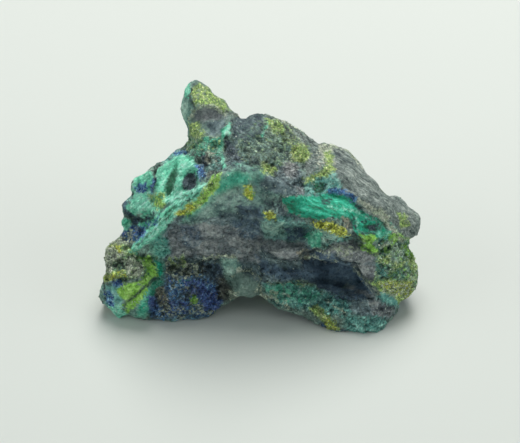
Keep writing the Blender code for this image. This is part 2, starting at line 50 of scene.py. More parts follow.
# The camera: the picture is PICTURE pixels, and one pixel is PIXEL long where the camera aims.
PICTURE = (520, 443)
CENTRE_PIXEL = (260.0, 221.5)
GROUND_ROW = 333.0  # the row where a flat board through the aim, facing the camera, meets the floor
PIXEL = 0.045 / 323.5
EYE_DISTANCE = 0.230
LEAN = math.radians(42)
BOX_SHIFT = Vector((0.00003, -0.01333, 0))  # by which the solid was centred on its footprint
SENSOR = 36.0  # mm
NEAREST_SEEN = 0.01  # in metres from the eye

SIGHT = Vector((0, -math.cos(LEAN), math.sin(LEAN)))
UP_BOARD = Vector((0, math.sin(LEAN), math.cos(LEAN)))
AIM = UP_BOARD * (GROUND_ROW - CENTRE_PIXEL[1]) * PIXEL + BOX_SHIFT
EYE = AIM + SIGHT * EYE_DISTANCE

# The studio: each lamp's place, its size across and high, its energy and its colour.
FLOOR_REACH = 1.5
FLOOR_COLOUR = (216, 219, 214)
LAMPS = {
    "softbox": ((0.04, 0.26, 0.44), (0.32, 0.4), 2.5, (1.0, 1.0, 0.98)),
    "overhead": ((0.0, 0.14, 0.7), (1.4, 1.4), 1.25, (0.965, 1.0, 0.99)),
    "front_fill": ((0.0, -0.6, 0.11), (1.4, 0.2), 0.72, (0.84, 0.98, 1.0)),
    "left_fill": ((-0.5, -0.05, 0.25), (0.5, 0.4), 0.6, (0.9, 1.0, 0.98)),
    "right_fill": ((0.5, -0.05, 0.25), (0.5, 0.4), 0.6, (0.9, 1.0, 0.98)),
}
LAMPS_AIM = Vector((0, 0, 0.01))
ROOM_COLOUR = (0.84, 0.98, 1.0, 1)
ROOM_STRENGTH = 0.08

SKIN_VOXEL = 0.24 * MM
SIGHT_START = 0.35  # how many millimetres off the skin a ray to the eye starts
BLEND = 4.0  # how many pixels inside its edge a patch is at its full strength
FAR_OUT = -3.0  # the least strength of a patch, well outside it
WANDER = 1.3  # how far a patch's outline wanders in pixels, and over how many millimetres
SLAB_AXIS = Vector((0.80, -0.46, -0.39))  # along the slab's striations
STRAND_AXIS = Vector((0.78, 0.38, 0.49))  # along the strands of the ridge on the left
VEIN_AXIS = Vector((0.94, -0.2, -0.27))  # along the green band


def srgb(*screen):
    """A screen colour, 0 to 255, as Blender's linear one."""
    shares = [value / 255 for value in screen]
    linear = [v / 12.92 if v <= 0.04045 else ((v + 0.055) / 1.055) ** 2.4 for v in shares]
    return (*linear, 1.0)


def new_object(name, data):
    thing = bpy.data.objects.new(name, data)
    bpy.context.scene.collection.objects.link(thing)
    return thing


# ---------------------------------------------------------------- camera, light and floor


def add_camera():
    data = bpy.data.cameras.new("camera")
    data.sensor_width = SENSOR
    data.lens = SENSOR * EYE_DISTANCE / (PICTURE[0] * PIXEL)
    data.clip_start = NEAREST_SEEN
    camera = new_object("camera", data)
    camera.location = EYE
    camera.rotation_euler = (AIM - EYE).to_track_quat("-Z", "Y").to_euler()
    bpy.context.scene.camera = camera


def add_lamp(name, place, size, energy, colour):
    """An elliptical lamp that is turned to the stone."""
    data = bpy.data.lights.new(name, "AREA")
    data.shape = "ELLIPSE"
    data.size, data.size_y = size
    data.energy = energy
    data.color = colour
    lamp = new_object(name, data)
    lamp.location = place
    lamp.rotation_euler = (LAMPS_AIM - Vector(place)).to_track_quat("-Z", "Y").to_euler()


def add_floor():
    mesh = bpy.data.meshes.new("floor")
    corners = [(x * FLOOR_REACH, y * FLOOR_REACH, 0) for x, y in ((-1, -1), (1, -1), (1, 1), (-1, 1))]
    mesh.from_pydata(corners, [], [(0, 1, 2, 3)])
    floor = new_object("floor", mesh)
    material = bpy.data.materials.new("floor_paper")
    material.use_nodes = True
    shader = material.node_tree.nodes["Principled BSDF"]
    shader.inputs["Base Color"].default_value = srgb(*FLOOR_COLOUR)
    shader.inputs["Roughness"].default_value = 0.7
    shader.inputs["Specular IOR Level"].default_value = 0.2
    mesh.materials.append(material)


def light_scene():
    world = bpy.data.worlds.new("studio")
    bpy.context.scene.world = world
    world.use_nodes = True
    back = world.node_tree.nodes["Background"]
    back.inputs["Color"].default_value = ROOM_COLOUR
    back.inputs["Strength"].default_value = ROOM_STRENGTH
    for name, settings in LAMPS.items():
        add_lamp(name, *settings)
    bpy.context.scene.view_settings.view_transform = "Standard"


# ---------------------------------------------------------------- the skin, and where the picture falls on it


def fine_skin(node):
    """A copy of the solid's mesh in small even faces, its facets smoothed away."""
    skin = new_object("crusted_skin", node.data.copy())
    skin.data.materials.clear()
    remesh = skin.modifiers.new("fine", "REMESH")
    remesh.mode = "VOXEL"
    remesh.voxel_size = SKIN_VOXEL
    smooth = skin.modifiers.new("smooth", "SMOOTH")
    smooth.factor = 0.5
    smooth.iterations = 5
    graph = bpy.context.evaluated_depsgraph_get()
    mesh = bpy.data.meshes.new_from_object(skin.evaluated_get(graph))
    skin.modifiers.clear()
    skin.data = mesh
    return skin


def vectors(mesh, kind):
    """A row for each vertex of the mesh: kind is "co" for their places or "normal" for their slopes."""
    flat = np.empty(len(mesh.vertices) * 3)
    mesh.vertices.foreach_get(kind, flat)
    return flat.reshape(-1, 3)


def in_grains(points, size, seed):
    """The points measured in grains of that size in millimetres, moved to a stretch of noise for the seed."""
    return points / (size * MM) + np.array((seed * 3.1, seed * 1.7, seed * 5.3))


def noise_field(points, size, seed, octaves=3, stretch=None):
    """Fractal noise of that grain size in millimetres, about -1 to 1.

    Along stretch, (axis, times), it is drawn out.
    """
    if stretch is not None:
        axis, times = np.array(stretch[0]), stretch[1]
        points = points - np.outer(points @ axis, axis) * (1 - 1 / times)
    return np.array([noise.fractal(p, 0.6, 2.1, octaves) for p in in_grains(points, size, seed)])


def cell_field(points, size, seed):
    """For each point how far it is from the edge of its grain, and a number that is the grain's own."""
    edges, own = np.empty(len(points)), np.empty(len(points))
    for index, p in enumerate(in_grains(points, size, seed)):
        distances, centres = noise.voronoi(p)
        edges[index] = distances[1] - distances[0]
        own[index] = math.sin(centres[0].x * 91.7 + centres[0].y * 57.3 + centres[0].z * 33.1)
    return edges, own


def sides(corners):
    """The sides of a path, each as the across and down of its two ends."""
    return zip(corners[:-2:2], corners[1:-2:2], corners[2::2], corners[3::2])


def soft_step(values, low, high):
    share = np.clip((values - low) / (high - low), 0, 1)
    return share * share * (3 - 2 * share)


class Layout:
    """Where each vertex of the skin falls in the picture, and which of them the picture doesn't show."""

    def __init__(self, mesh):
        self.points = vectors(mesh, "co")
        faces = [tuple(p.vertices) for p in mesh.polygons]
        rays = BVHTree.FromPolygons([Vector(c) for c in self.points], faces)
        towards = np.array(EYE) - self.points
        depth = towards @ np.array(SIGHT)
        scale = EYE_DISTANCE / depth
        offset = self.points - np.array(EYE)
        self.across = CENTRE_PIXEL[0] + offset[:, 0] * scale / PIXEL
        self.down = CENTRE_PIXEL[1] - (offset @ np.array(UP_BOARD)) * scale / PIXEL
        self.across += WANDER * noise_field(self.points, WANDER, 31, 2)
        self.down += WANDER * noise_field(self.points, WANDER, 32, 2)
        ways = towards / np.linalg.norm(towards, axis=1)[:, None]
        starts = self.points + ways * SIGHT_START * MM
        self.shown = np.array([rays.ray_cast(start, way)[0] is None for start, way in zip(starts, ways)])
        tree = KDTree(int(self.shown.sum()))
        for index in np.flatnonzero(self.shown):
            tree.insert(self.points[index], index)
        tree.balance()
        self.nearest = np.arange(len(self.points))
        self.beyond = np.zeros(len(self.points))
        for index in np.flatnonzero(~self.shown):
            _, self.nearest[index], self.beyond[index] = tree.find(self.points[index])

    def spread(self, inside):
        """A patch's strength at each vertex, from the pixels inside it. It fades over what is hidden."""
        return np.maximum(inside[self.nearest] - self.beyond / PIXEL, FAR_OUT * BLEND) / BLEND

    def area(self, outline):
        """The strength at each vertex of a patch with that outline."""
        far = np.full(len(self.points), np.inf)
        odd = np.zeros(len(self.points), dtype=bool)
        for a, b, c, d in sides(outline + outline[:2]):
            far = np.minimum(far, self.to_side(a, b, c, d))
            if b != d:
                crosses = (self.down < b) != (self.down < d)
                odd ^= crosses & (self.across < a + (c - a) * (self.down - b) / (d - b))
        return self.spread(np.where(odd, far, -far))

    def line(self, width, path):
        """The same for a line of that half width."""
        far = np.minimum.reduce([self.to_side(*side) for side in sides(path)])
        return self.spread(width - far)

    def to_side(self, a, b, c, d):
        """How many pixels each vertex lies from the side a, b to c, d."""
        length = (c - a) ** 2 + (d - b) ** 2
        along = np.clip(((self.across - a) * (c - a) + (self.down - b) * (d - b)) / length, 0, 1)
        return np.hypot(self.across - a - along * (c - a), self.down - b - along * (d - b))


# ---------------------------------------------------------------- what lies where
#
# Patches in pixels of the picture. An area is (density, outline) and a line is (density, half width, path).
# Outlines and paths are corners, across and down in turn. The density is how much of a patch is covered: 1 is
# solid, 0 leaves half of it bare in specks, -0.3 leaves a few grains.

AREAS = {
    "slab": [
        (1, [300, 126, 320, 143, 345, 146, 365, 165, 385, 190, 412, 203, 425, 218, 422, 242, 406, 240,
            398, 236, 386, 226, 372, 218, 360, 210, 350, 200, 340, 190, 334, 172, 334, 150, 312, 150]),
        (0.3, [258, 108, 285, 121, 306, 132, 320, 143, 312, 152, 294, 142, 272, 124]),
        (0.5, [312, 148, 326, 150, 322, 166, 306, 176, 304, 164]),
        (0.4, [205, 152, 218, 150, 222, 162, 218, 174, 206, 178, 200, 168]),
    ],
    "front": [
        (1, [160, 232, 180, 216, 215, 200, 240, 192, 262, 196, 283, 208, 300, 218, 312, 228, 316, 250,
            335, 242, 372, 246, 378, 268, 355, 268, 318, 262, 300, 282, 262, 286, 236, 268, 215, 262,
            165, 262, 160, 248]),
        (1, [356, 262, 378, 270, 382, 298, 360, 296]),
        (0.7, [340, 290, 376, 296, 396, 304, 392, 316, 376, 326, 352, 312, 336, 304]),
        (0.7, [270, 162, 296, 160, 304, 176, 312, 198, 298, 196, 262, 194, 252, 182]),
        (0.9, [232, 120, 246, 112, 264, 114, 266, 132, 248, 144, 232, 140]),
        (0.5, [216, 168, 228, 158, 256, 158, 268, 168, 252, 172, 228, 172]),
        (0.9, [205, 121, 226, 119, 225, 132, 210, 137]),
        (0.6, [226, 142, 234, 142, 242, 158, 236, 162, 224, 156]),
    ],
    "mauve": [
        (0.4, [168, 232, 190, 222, 228, 226, 262, 236, 260, 262, 222, 258, 195, 256, 172, 258]),
        (1.2, [258, 240, 276, 236, 303, 241, 306, 250, 296, 262, 284, 260, 264, 252]),
        (1, [316, 250, 335, 242, 352, 240, 372, 250, 376, 264, 350, 264, 330, 254]),
        (0.7, [352, 264, 374, 264, 380, 276, 372, 284, 360, 276]),
        (0.3, [368, 300, 384, 298, 394, 304, 392, 316, 374, 318]),
        (0.8, [193, 112, 205, 105, 215, 108, 227, 116, 218, 120, 200, 121, 193, 118]),
        (0.8, [285, 164, 292, 160, 298, 168, 296, 178, 288, 178, 283, 172]),
        (0.4, [296, 186, 308, 190, 312, 198, 302, 198]), (0.6, [344, 284, 366, 286, 374, 296, 354, 298]),
        (0.4, [205, 278, 220, 278, 224, 290, 208, 290]),
    ],
    "crust": [
        (1, [380, 238, 400, 234, 412, 240, 420, 262, 423, 280, 412, 292, 402, 303, 388, 292, 372, 282,
            378, 268, 376, 252]),
        (0.6, [100, 240, 118, 234, 132, 250, 158, 258, 140, 276, 118, 282, 100, 280]),
        (0.5, [186, 138, 222, 138, 226, 152, 200, 152, 186, 150]),
        (-0.2, [238, 140, 264, 118, 284, 122, 302, 144, 304, 160, 290, 162, 276, 168, 250, 166, 240, 158]),
        (0.2, [268, 284, 300, 282, 326, 288, 322, 304, 296, 300]),
    ],
    "teal": [
        (0.1, [200, 150, 222, 150, 224, 168, 206, 172]),
        (0.3, [150, 300, 164, 304, 200, 306, 198, 318, 160, 320, 148, 314]),
        (0.1, [164, 290, 186, 290, 194, 306, 168, 310]), (-0.1, [112, 258, 128, 258, 130, 270, 112, 272]),
        (0.3, [178, 84, 190, 84, 190, 110, 180, 124]),
        (0.4, [160, 160, 178, 151, 192, 152, 186, 162, 166, 168]),
        (0.9, [304, 184, 314, 177, 334, 172, 342, 184, 340, 194, 318, 198, 306, 196]),
        (0.9, [262, 284, 290, 282, 325, 290, 345, 298, 352, 312, 330, 314, 300, 308, 275, 306]),
        (0.5, [340, 316, 385, 318, 386, 332, 350, 336]),
        (1, [102, 286, 118, 284, 124, 300, 122, 316, 112, 316, 104, 306]),
        (0.3, [152, 236, 166, 238, 170, 252, 160, 260, 150, 250]),
        (0.3, [180, 278, 200, 277, 202, 288, 184, 294]),
        (1, [304, 236, 318, 228, 336, 232, 350, 238, 336, 242, 324, 250, 312, 247]),
        (0.1, [262, 222, 284, 218, 312, 226, 318, 236, 300, 240, 266, 238]),
        (0.2, [262, 212, 282, 216, 300, 222, 312, 228, 286, 228, 266, 224]),
        (0.5, [377, 264, 388, 264, 390, 278, 378, 280]), (0.0, [396, 268, 406, 268, 404, 280, 394, 280]),
        (0.9, [378, 289, 390, 291, 400, 300, 400, 308, 386, 304, 376, 298]),
        (0.2, [116, 198, 128, 193, 134, 198, 128, 212, 118, 212]),
        (0.4, [380, 222, 392, 226, 398, 240, 384, 258, 376, 250, 380, 238]),
        (0.6, [350, 200, 358, 206, 366, 214, 356, 214]),
    ],
    "sage": [
        (-0.05, [238, 134, 262, 126, 286, 134, 296, 150, 276, 166, 246, 166]),
        (1, [181, 84, 192, 82, 192, 96, 194, 107, 189, 118, 192, 124, 188, 136, 180, 130, 177, 106]),
        (1, [220, 259, 236, 258, 240, 266, 234, 276, 230, 284, 224, 276]),
        (-0.1, [214, 182, 222, 170, 234, 164, 256, 164, 270, 174, 258, 178, 236, 178, 222, 186]),
        (0.1, [200, 204, 222, 192, 262, 188, 280, 196, 276, 212, 250, 208, 222, 212, 194, 224, 180, 222]),
        (0.6, [262, 222, 284, 222, 286, 236, 264, 238]),
        (0.5, [304, 230, 326, 228, 340, 236, 324, 248, 310, 246]),
        (0.3, [128, 190, 132, 178, 144, 170, 153, 168, 153, 176, 140, 180, 134, 190]),
        (0.7, [286, 226, 300, 226, 310, 230, 304, 240, 288, 240]),
        (0.5, [384, 222, 396, 228, 406, 244, 400, 246, 390, 232]),
        (0.2, [382, 238, 404, 238, 412, 250, 410, 272, 396, 270, 384, 262]),
        (0.5, [134, 242, 150, 242, 156, 252, 140, 256]),
        (0.9, [125, 304, 140, 302, 144, 312, 134, 320, 124, 318]),
        (0.4, [100, 286, 106, 284, 106, 300, 112, 312, 104, 308]),
    ],
    "navy": [
        (1, [300, 256, 316, 249, 334, 253, 348, 262, 356, 268, 370, 286, 372, 294, 346, 284, 334, 296,
            320, 288, 302, 278]),
        (0.3, [336, 286, 356, 290, 372, 300, 350, 300, 334, 298]),
        (0.3, [284, 228, 298, 226, 306, 230, 304, 240, 288, 240]),
        (0.2, [231, 222, 246, 218, 260, 224, 256, 238, 242, 238]),
        (0.1, [236, 206, 262, 206, 262, 218, 244, 216]),
        (0.0, [180, 226, 198, 226, 202, 242, 188, 248, 180, 240]),
        (0.7, [256, 256, 268, 262, 284, 268, 306, 269, 306, 278, 280, 280, 262, 272]),
        (0.4, [160, 264, 200, 262, 220, 264, 224, 282, 220, 300, 212, 318, 150, 321, 148, 306, 160, 284]),
        (0.6, [134, 216, 150, 218, 148, 226, 132, 224]),
        (0.5, [119, 200, 126, 198, 128, 210, 134, 216, 124, 214]),
        (0.4, [320, 324, 346, 330, 342, 336, 322, 332]),
    ],
    "haze": [
        (0.9, [216, 184, 222, 176, 236, 171, 246, 173, 252, 180, 246, 185, 238, 186, 222, 192, 212, 200,
            196, 214, 184, 220, 196, 204]),
    ],
    "sea": [
        (-0.3, [234, 166, 250, 163, 266, 172, 258, 184, 240, 186]),
        (0.9, [220, 182, 228, 175, 238, 172, 250, 175, 246, 182, 236, 184, 226, 190, 217, 192]),
        (0.2, [156, 226, 168, 222, 162, 236, 150, 242]),
        (-0.2, [150, 240, 164, 240, 168, 252, 160, 257, 152, 250]),
        (0.9, [136, 318, 140, 303, 144, 293, 152, 281, 161, 276, 163, 283, 156, 293, 150, 302, 150, 314]),
        (0.0, [153, 256, 163, 262, 164, 278, 155, 281]),
    ],
    "emerald": [
        (1, [281, 197, 300, 196, 318, 196, 330, 192, 346, 196, 355, 201, 360, 210, 374, 217, 388, 222,
            395, 232, 392, 241, 378, 239, 362, 238, 353, 231, 351, 221, 338, 218, 318, 219, 304, 218,
            288, 212]),
        (0.1, [138, 314, 141, 304, 146, 294, 153, 283, 160, 278, 161, 282, 155, 291, 148, 300]),
        (0.4, [155, 260, 161, 263, 162, 275, 157, 278, 156, 268]),
        (0.5, [178, 280, 190, 280, 192, 286, 180, 288]),
    ],
    "mint": [
        (1, [166, 162, 182, 153, 194, 157, 198, 166, 200, 186, 194, 196, 176, 197, 158, 202, 150, 212,
            134, 214, 124, 208, 132, 200, 136, 192, 154, 190, 156, 172]),
        (1, [148, 204, 160, 198, 180, 200, 164, 222, 152, 228, 144, 224, 152, 214]),
        (0.4, [130, 190, 134, 178, 146, 171, 154, 172, 154, 190, 140, 196]),
        (1, [158, 214, 176, 204, 190, 197, 202, 188, 204, 194, 192, 204, 180, 212, 166, 228, 148, 242,
            136, 254, 128, 252, 132, 246, 144, 232]),
        (1, [117, 223, 124, 218, 130, 222, 134, 229, 124, 232, 119, 229]),
        (0.8, [183, 86, 190, 84, 191, 92, 188, 98, 184, 96]),
        (1, [221, 131, 228, 123, 232, 126, 229, 135, 223, 138]),
        (0.15, [204, 138, 224, 138, 222, 154, 210, 156, 202, 148]),
        (-0.1, [188, 142, 206, 140, 204, 156, 190, 154]),
        (0.6, [304, 236, 312, 230, 322, 232, 320, 248, 312, 247]),
        (0.5, [140, 214, 152, 208, 162, 206, 160, 216, 146, 229, 138, 226]),
        (0.0, [262, 284, 292, 284, 322, 292, 318, 302, 276, 302]),
    ],
    "bright": [
        (0.0, [178, 168, 192, 160, 196, 168, 182, 174]),
        (0.5, [174, 190, 198, 188, 194, 198, 160, 204, 136, 210, 132, 202]),
        (0.9, [148, 232, 164, 218, 182, 207, 190, 202, 180, 212, 164, 228, 146, 244, 134, 252, 132, 248]),
        (0.3, [194, 188, 208, 180, 206, 188, 194, 198]),
        (0.9, [168, 197, 190, 190, 200, 188, 196, 198, 184, 206, 168, 208]),
        (0.2, [134, 192, 154, 190, 156, 206, 136, 210]), (0.0, [122, 228, 136, 226, 142, 232, 132, 240]),
        (-0.1, [376, 224, 392, 224, 396, 238, 380, 240]),
        (0.0, [186, 210, 200, 196, 212, 180, 219, 176, 214, 192, 202, 206, 188, 215]),
        (1, [104, 302, 128, 306, 124, 321, 112, 320]),
    ],
    "deep_green": [
        (1, [166, 195, 165, 186, 170, 173, 176, 166, 179, 168, 175, 182, 174, 192, 168, 197]),
        (-0.1, [152, 196, 162, 196, 164, 206, 154, 207]),
        (-0.2, [232, 120, 246, 112, 262, 115, 262, 130, 246, 142, 234, 138]),
        (0.6, [380, 244, 388, 244, 388, 254, 380, 254]), (-0.05, [284, 202, 296, 202, 300, 213, 288, 213]),
        (0.2, [364, 226, 374, 224, 378, 228, 370, 232]),
        (0.6, [150, 262, 156, 264, 156, 276, 148, 284, 144, 276]),
        (0.3, [312, 180, 324, 182, 324, 192, 314, 194]),
    ],
    "slate": [
        (1, [182, 190, 181, 182, 186, 174, 190, 171, 195, 173, 198, 181, 197, 188, 190, 191]),
        (0.9, [224, 140, 230, 142, 242, 160, 234, 161, 226, 154]),
        (0.1, [232, 120, 246, 112, 262, 115, 262, 130, 246, 142, 234, 138]),
        (-0.15, [216, 168, 228, 158, 256, 158, 268, 168, 252, 171, 228, 171]),
        (-0.1, [262, 196, 284, 198, 284, 212, 266, 210]), (0.5, [202, 154, 210, 158, 208, 168, 202, 164]),
        (0.8, [365, 228, 370, 224, 378, 224, 372, 231]),
    ],
    "azurite": [
        (1, [120, 236, 134, 226, 144, 225, 146, 234, 136, 242, 122, 242]),
        (0.9, [196, 166, 203, 165, 206, 174, 202, 181, 197, 176]),
        (0.9, [111, 279, 122, 278, 121, 286, 112, 286]),
        (-0.1, [165, 278, 200, 276, 216, 284, 220, 302, 212, 316, 160, 320, 150, 308, 150, 298, 164, 294]),
        (0.2, [166, 278, 188, 280, 190, 292, 172, 296]), (0.4, [196, 284, 216, 284, 222, 302, 208, 314]),
        (0.2, [150, 296, 162, 296, 164, 314, 150, 316]), (0.7, [136, 184, 146, 183, 147, 191, 138, 192]),
        (0.3, [104, 290, 112, 292, 114, 306, 106, 306]), (-0.1, [146, 218, 158, 216, 156, 224, 146, 226]),
    ],
    "violet": [
        (0.7, [200, 292, 216, 290, 222, 300, 218, 312, 204, 311]),
        (0.2, [148, 298, 156, 296, 157, 310, 150, 312]), (0.3, [182, 280, 206, 282, 208, 298, 190, 294]),
        (0.0, [166, 300, 190, 304, 188, 314, 168, 312]), (0.2, [122, 234, 134, 226, 142, 230, 130, 240]),
    ],
    "umber": [
        (-0.1, [164, 266, 178, 264, 184, 274, 180, 282, 166, 280]),
        (-0.1, [184, 264, 206, 266, 200, 276, 184, 276]),
        (0.6, [218, 276, 226, 280, 234, 296, 226, 302, 218, 298]),
        (0.4, [160, 300, 168, 300, 172, 312, 164, 314]), (-0.1, [184, 288, 200, 290, 196, 300, 186, 298]),
    ],
    "rust": [
        (0.9, [156, 290, 164, 289, 168, 302, 160, 308]), (0.3, [342, 218, 350, 219, 352, 230, 346, 228]),
        (0.2, [296, 252, 308, 250, 310, 258, 300, 260]),
    ],
    "tan": [
        (1, [372, 212, 380, 209, 390, 217, 386, 222, 378, 219]),
        (0.5, [360, 200, 372, 204, 378, 212, 366, 210]),
        (0.5, [384, 221, 392, 226, 404, 240, 400, 243, 392, 234]),
        (0.1, [206, 152, 214, 152, 216, 162, 208, 164]), (0.0, [318, 146, 332, 146, 334, 164, 318, 168]),
        (-0.1, [384, 284, 412, 284, 404, 298, 390, 294]), (0.2, [103, 246, 122, 250, 122, 262, 103, 264]),
        (-0.1, [124, 264, 140, 262, 140, 274, 126, 274]),
    ],
    "lime": [
        (1, [361, 235, 375, 234, 378, 238, 372, 243, 362, 242]),
        (1, [361, 244, 372, 243, 381, 251, 372, 255, 361, 250]),
        (1, [117, 290, 124, 284, 134, 281, 142, 286, 140, 292, 130, 300, 120, 298]),
        (0.9, [122, 306, 130, 300, 138, 292, 146, 287, 146, 292, 136, 306, 128, 312]),
        (1, [138, 257, 148, 256, 154, 264, 158, 276, 152, 279, 147, 270]),
        (1, [190, 298, 197, 296, 198, 302, 192, 304]),
        (0.7, [244, 187, 249, 186, 253, 193, 252, 199, 246, 195]),
        (0.2, [110, 243, 120, 242, 123, 253, 112, 256]), (0.8, [137, 283, 146, 274, 153, 278, 146, 287]),
        (0.6, [184, 212, 194, 202, 206, 188, 212, 178, 221, 172, 218, 188, 202, 206, 188, 216]),
        (0.2, [153, 196, 162, 195, 164, 205, 155, 207]),
        (-0.25, [384, 236, 412, 240, 418, 270, 396, 286, 382, 262]),
        (0.2, [388, 234, 400, 233, 404, 240, 392, 244]), (0.2, [404, 244, 412, 248, 414, 258, 406, 256]),
    ],
    "yellow": [
        (0.2, [192, 87, 200, 84, 210, 91, 222, 100, 230, 111, 224, 112, 212, 104, 200, 104, 194, 106,
            191, 97]),
        (0.2, [189, 124, 198, 122, 204, 134, 198, 138, 191, 136]),
        (-0.1, [150, 194, 164, 193, 166, 205, 158, 210, 151, 205]),
        (0.0, [176, 214, 188, 204, 200, 196, 206, 186, 213, 178, 218, 179, 213, 190, 202, 204, 188, 213]),
        (0.3, [266, 119, 278, 121, 286, 130, 284, 136, 274, 134]),
        (-0.1, [284, 134, 294, 138, 292, 146, 284, 144]),
        (0.5, [290, 148, 298, 143, 308, 147, 310, 157, 303, 163, 294, 160]),
        (0.3, [324, 151, 331, 151, 333, 162, 326, 164]),
        (0.5, [303, 178, 314, 174, 330, 165, 336, 168, 326, 177, 312, 179, 306, 185]),
        (0.7, [260, 163, 268, 162, 277, 168, 274, 175, 264, 173]),
        (0.3, [397, 213, 406, 214, 410, 226, 402, 227]), (0.9, [109, 244, 120, 242, 124, 254, 113, 257]),
        (0.9, [103, 274, 112, 271, 126, 271, 130, 277, 112, 280, 104, 283]),
        (1.2, [367, 280, 378, 282, 392, 279, 412, 282, 412, 294, 400, 304, 392, 294, 380, 292]),
        (0.4, [380, 258, 390, 256, 392, 262, 384, 264]), (0.3, [394, 262, 404, 262, 402, 268, 394, 268]),
        (0.1, [408, 260, 416, 258, 418, 268, 410, 268]),
        (0.5, [309, 308, 318, 306, 330, 316, 340, 330, 330, 330, 320, 320]),
        (-0.1, [168, 258, 184, 256, 186, 266, 172, 268]),
        (-0.15, [100, 242, 124, 240, 140, 262, 136, 276, 102, 276]),
    ],
    "ochre": [
        (0.6, [244, 187, 249, 186, 253, 193, 252, 199, 246, 195]),
        (0.7, [177, 214, 184, 209, 192, 204, 196, 206, 188, 212, 180, 215]),
        (0.8, [264, 212, 270, 210, 276, 213, 275, 219, 270, 221, 265, 217]),
        (1, [312, 222, 322, 221, 334, 223, 342, 228, 350, 236, 342, 236, 330, 232, 318, 229]),
        (0.1, [378, 282, 412, 282, 408, 298, 392, 292]), (0.1, [110, 245, 119, 243, 122, 253, 112, 256]),
        (0.1, [104, 274, 124, 271, 127, 276, 108, 280]), (0.2, [324, 318, 334, 322, 336, 330, 328, 328]),
    ],
    "pale": [
        (1.4, [100, 255, 113, 253, 115, 264, 110, 273, 101, 274]),
        (1.3, [104, 242, 112, 237, 124, 236, 130, 242, 122, 246]),
        (0.4, [122, 258, 134, 256, 142, 264, 140, 276, 128, 274]),
        (0.2, [372, 212, 380, 209, 389, 218, 384, 222]), (1.2, [101, 250, 112, 246, 126, 257, 112, 260]),
        (0.0, [132, 226, 140, 228, 134, 242, 124, 242]), (0.0, [190, 304, 200, 306, 200, 315, 190, 313]),
        (-0.2, [160, 306, 186, 308, 184, 317, 160, 316]), (0.2, [228, 292, 238, 292, 240, 299, 230, 300]),
        (0.0, [380, 284, 412, 284, 406, 298, 388, 296]),
        (-0.2, [314, 250, 336, 244, 360, 250, 350, 258, 330, 256]),
        (-0.2, [168, 278, 188, 276, 190, 288, 172, 290]), (-0.1, [166, 264, 200, 264, 200, 276, 166, 276]),
        (0.1, [320, 143, 334, 145, 334, 152, 320, 150]), (-0.2, [272, 292, 290, 296, 286, 300, 268, 296]),
        (-0.2, [160, 292, 166, 296, 166, 304, 160, 302]),
    ],
    # dark: dark cracks and crevices, partly real cracks sunk into the skin, and partly painted shade in
    # hollows and under ledge edges
    "dark": [
        (0.1, [113, 263, 120, 262, 127, 263, 126, 269, 116, 271]),
        (0.3, [134, 216, 148, 218, 156, 214, 152, 222, 138, 222]),
        (-0.25, [240, 144, 262, 130, 284, 134, 292, 150, 276, 164, 252, 164]),
    ],
    "pitted": [
        (0.5, [240, 142, 264, 126, 284, 122, 302, 144, 306, 164, 296, 176, 276, 176, 250, 166, 240, 160]),
        (0.3, [378, 236, 400, 230, 412, 240, 420, 262, 422, 280, 366, 280, 378, 268]),
        (0.8, [186, 138, 222, 138, 226, 152, 220, 176, 206, 180, 196, 164, 180, 154]),
        (0.3, [100, 240, 118, 234, 132, 250, 158, 258, 140, 278, 118, 282, 100, 280]),
        (0.2, [262, 284, 290, 280, 325, 284, 345, 300, 352, 334, 330, 332, 300, 312, 275, 306]),
        (0.6, [158, 258, 200, 258, 236, 276, 240, 302, 212, 318, 146, 320, 148, 300]),
        (0.1, [128, 190, 153, 168, 166, 160, 150, 212, 124, 212]),
    ],
    "calm": [
        (0.9, [318, 150, 345, 146, 365, 165, 385, 190, 412, 203, 425, 218, 422, 242, 406, 240, 386, 224,
            360, 208, 340, 190]),
        (0.9, [232, 120, 250, 112, 264, 116, 262, 132, 244, 144, 234, 142]),
        (1, [181, 84, 200, 80, 236, 112, 240, 118, 228, 122, 220, 138, 196, 140, 178, 130]),
        (1, [206, 200, 214, 180, 224, 166, 262, 164, 284, 178, 300, 196, 280, 196, 262, 214, 222, 216,
            180, 224]),
        (0.2, [180, 222, 262, 214, 312, 230, 316, 250, 376, 244, 380, 298, 300, 286, 262, 266, 200, 254,
            176, 250]),
        (1, [220, 259, 242, 258, 262, 280, 256, 300, 236, 298, 228, 284]),
        (1, [162, 164, 178, 156, 200, 166, 198, 194, 174, 200, 156, 192]),
        (0.8, [300, 252, 334, 250, 376, 292, 360, 300, 320, 290]),
        (0.8, [104, 286, 142, 282, 160, 277, 160, 284, 148, 314, 118, 320, 104, 306]),
        (0.8, [138, 256, 150, 256, 160, 276, 150, 280]),
        (0.8, [376, 288, 392, 291, 402, 300, 398, 308, 380, 300]),
    ],
}

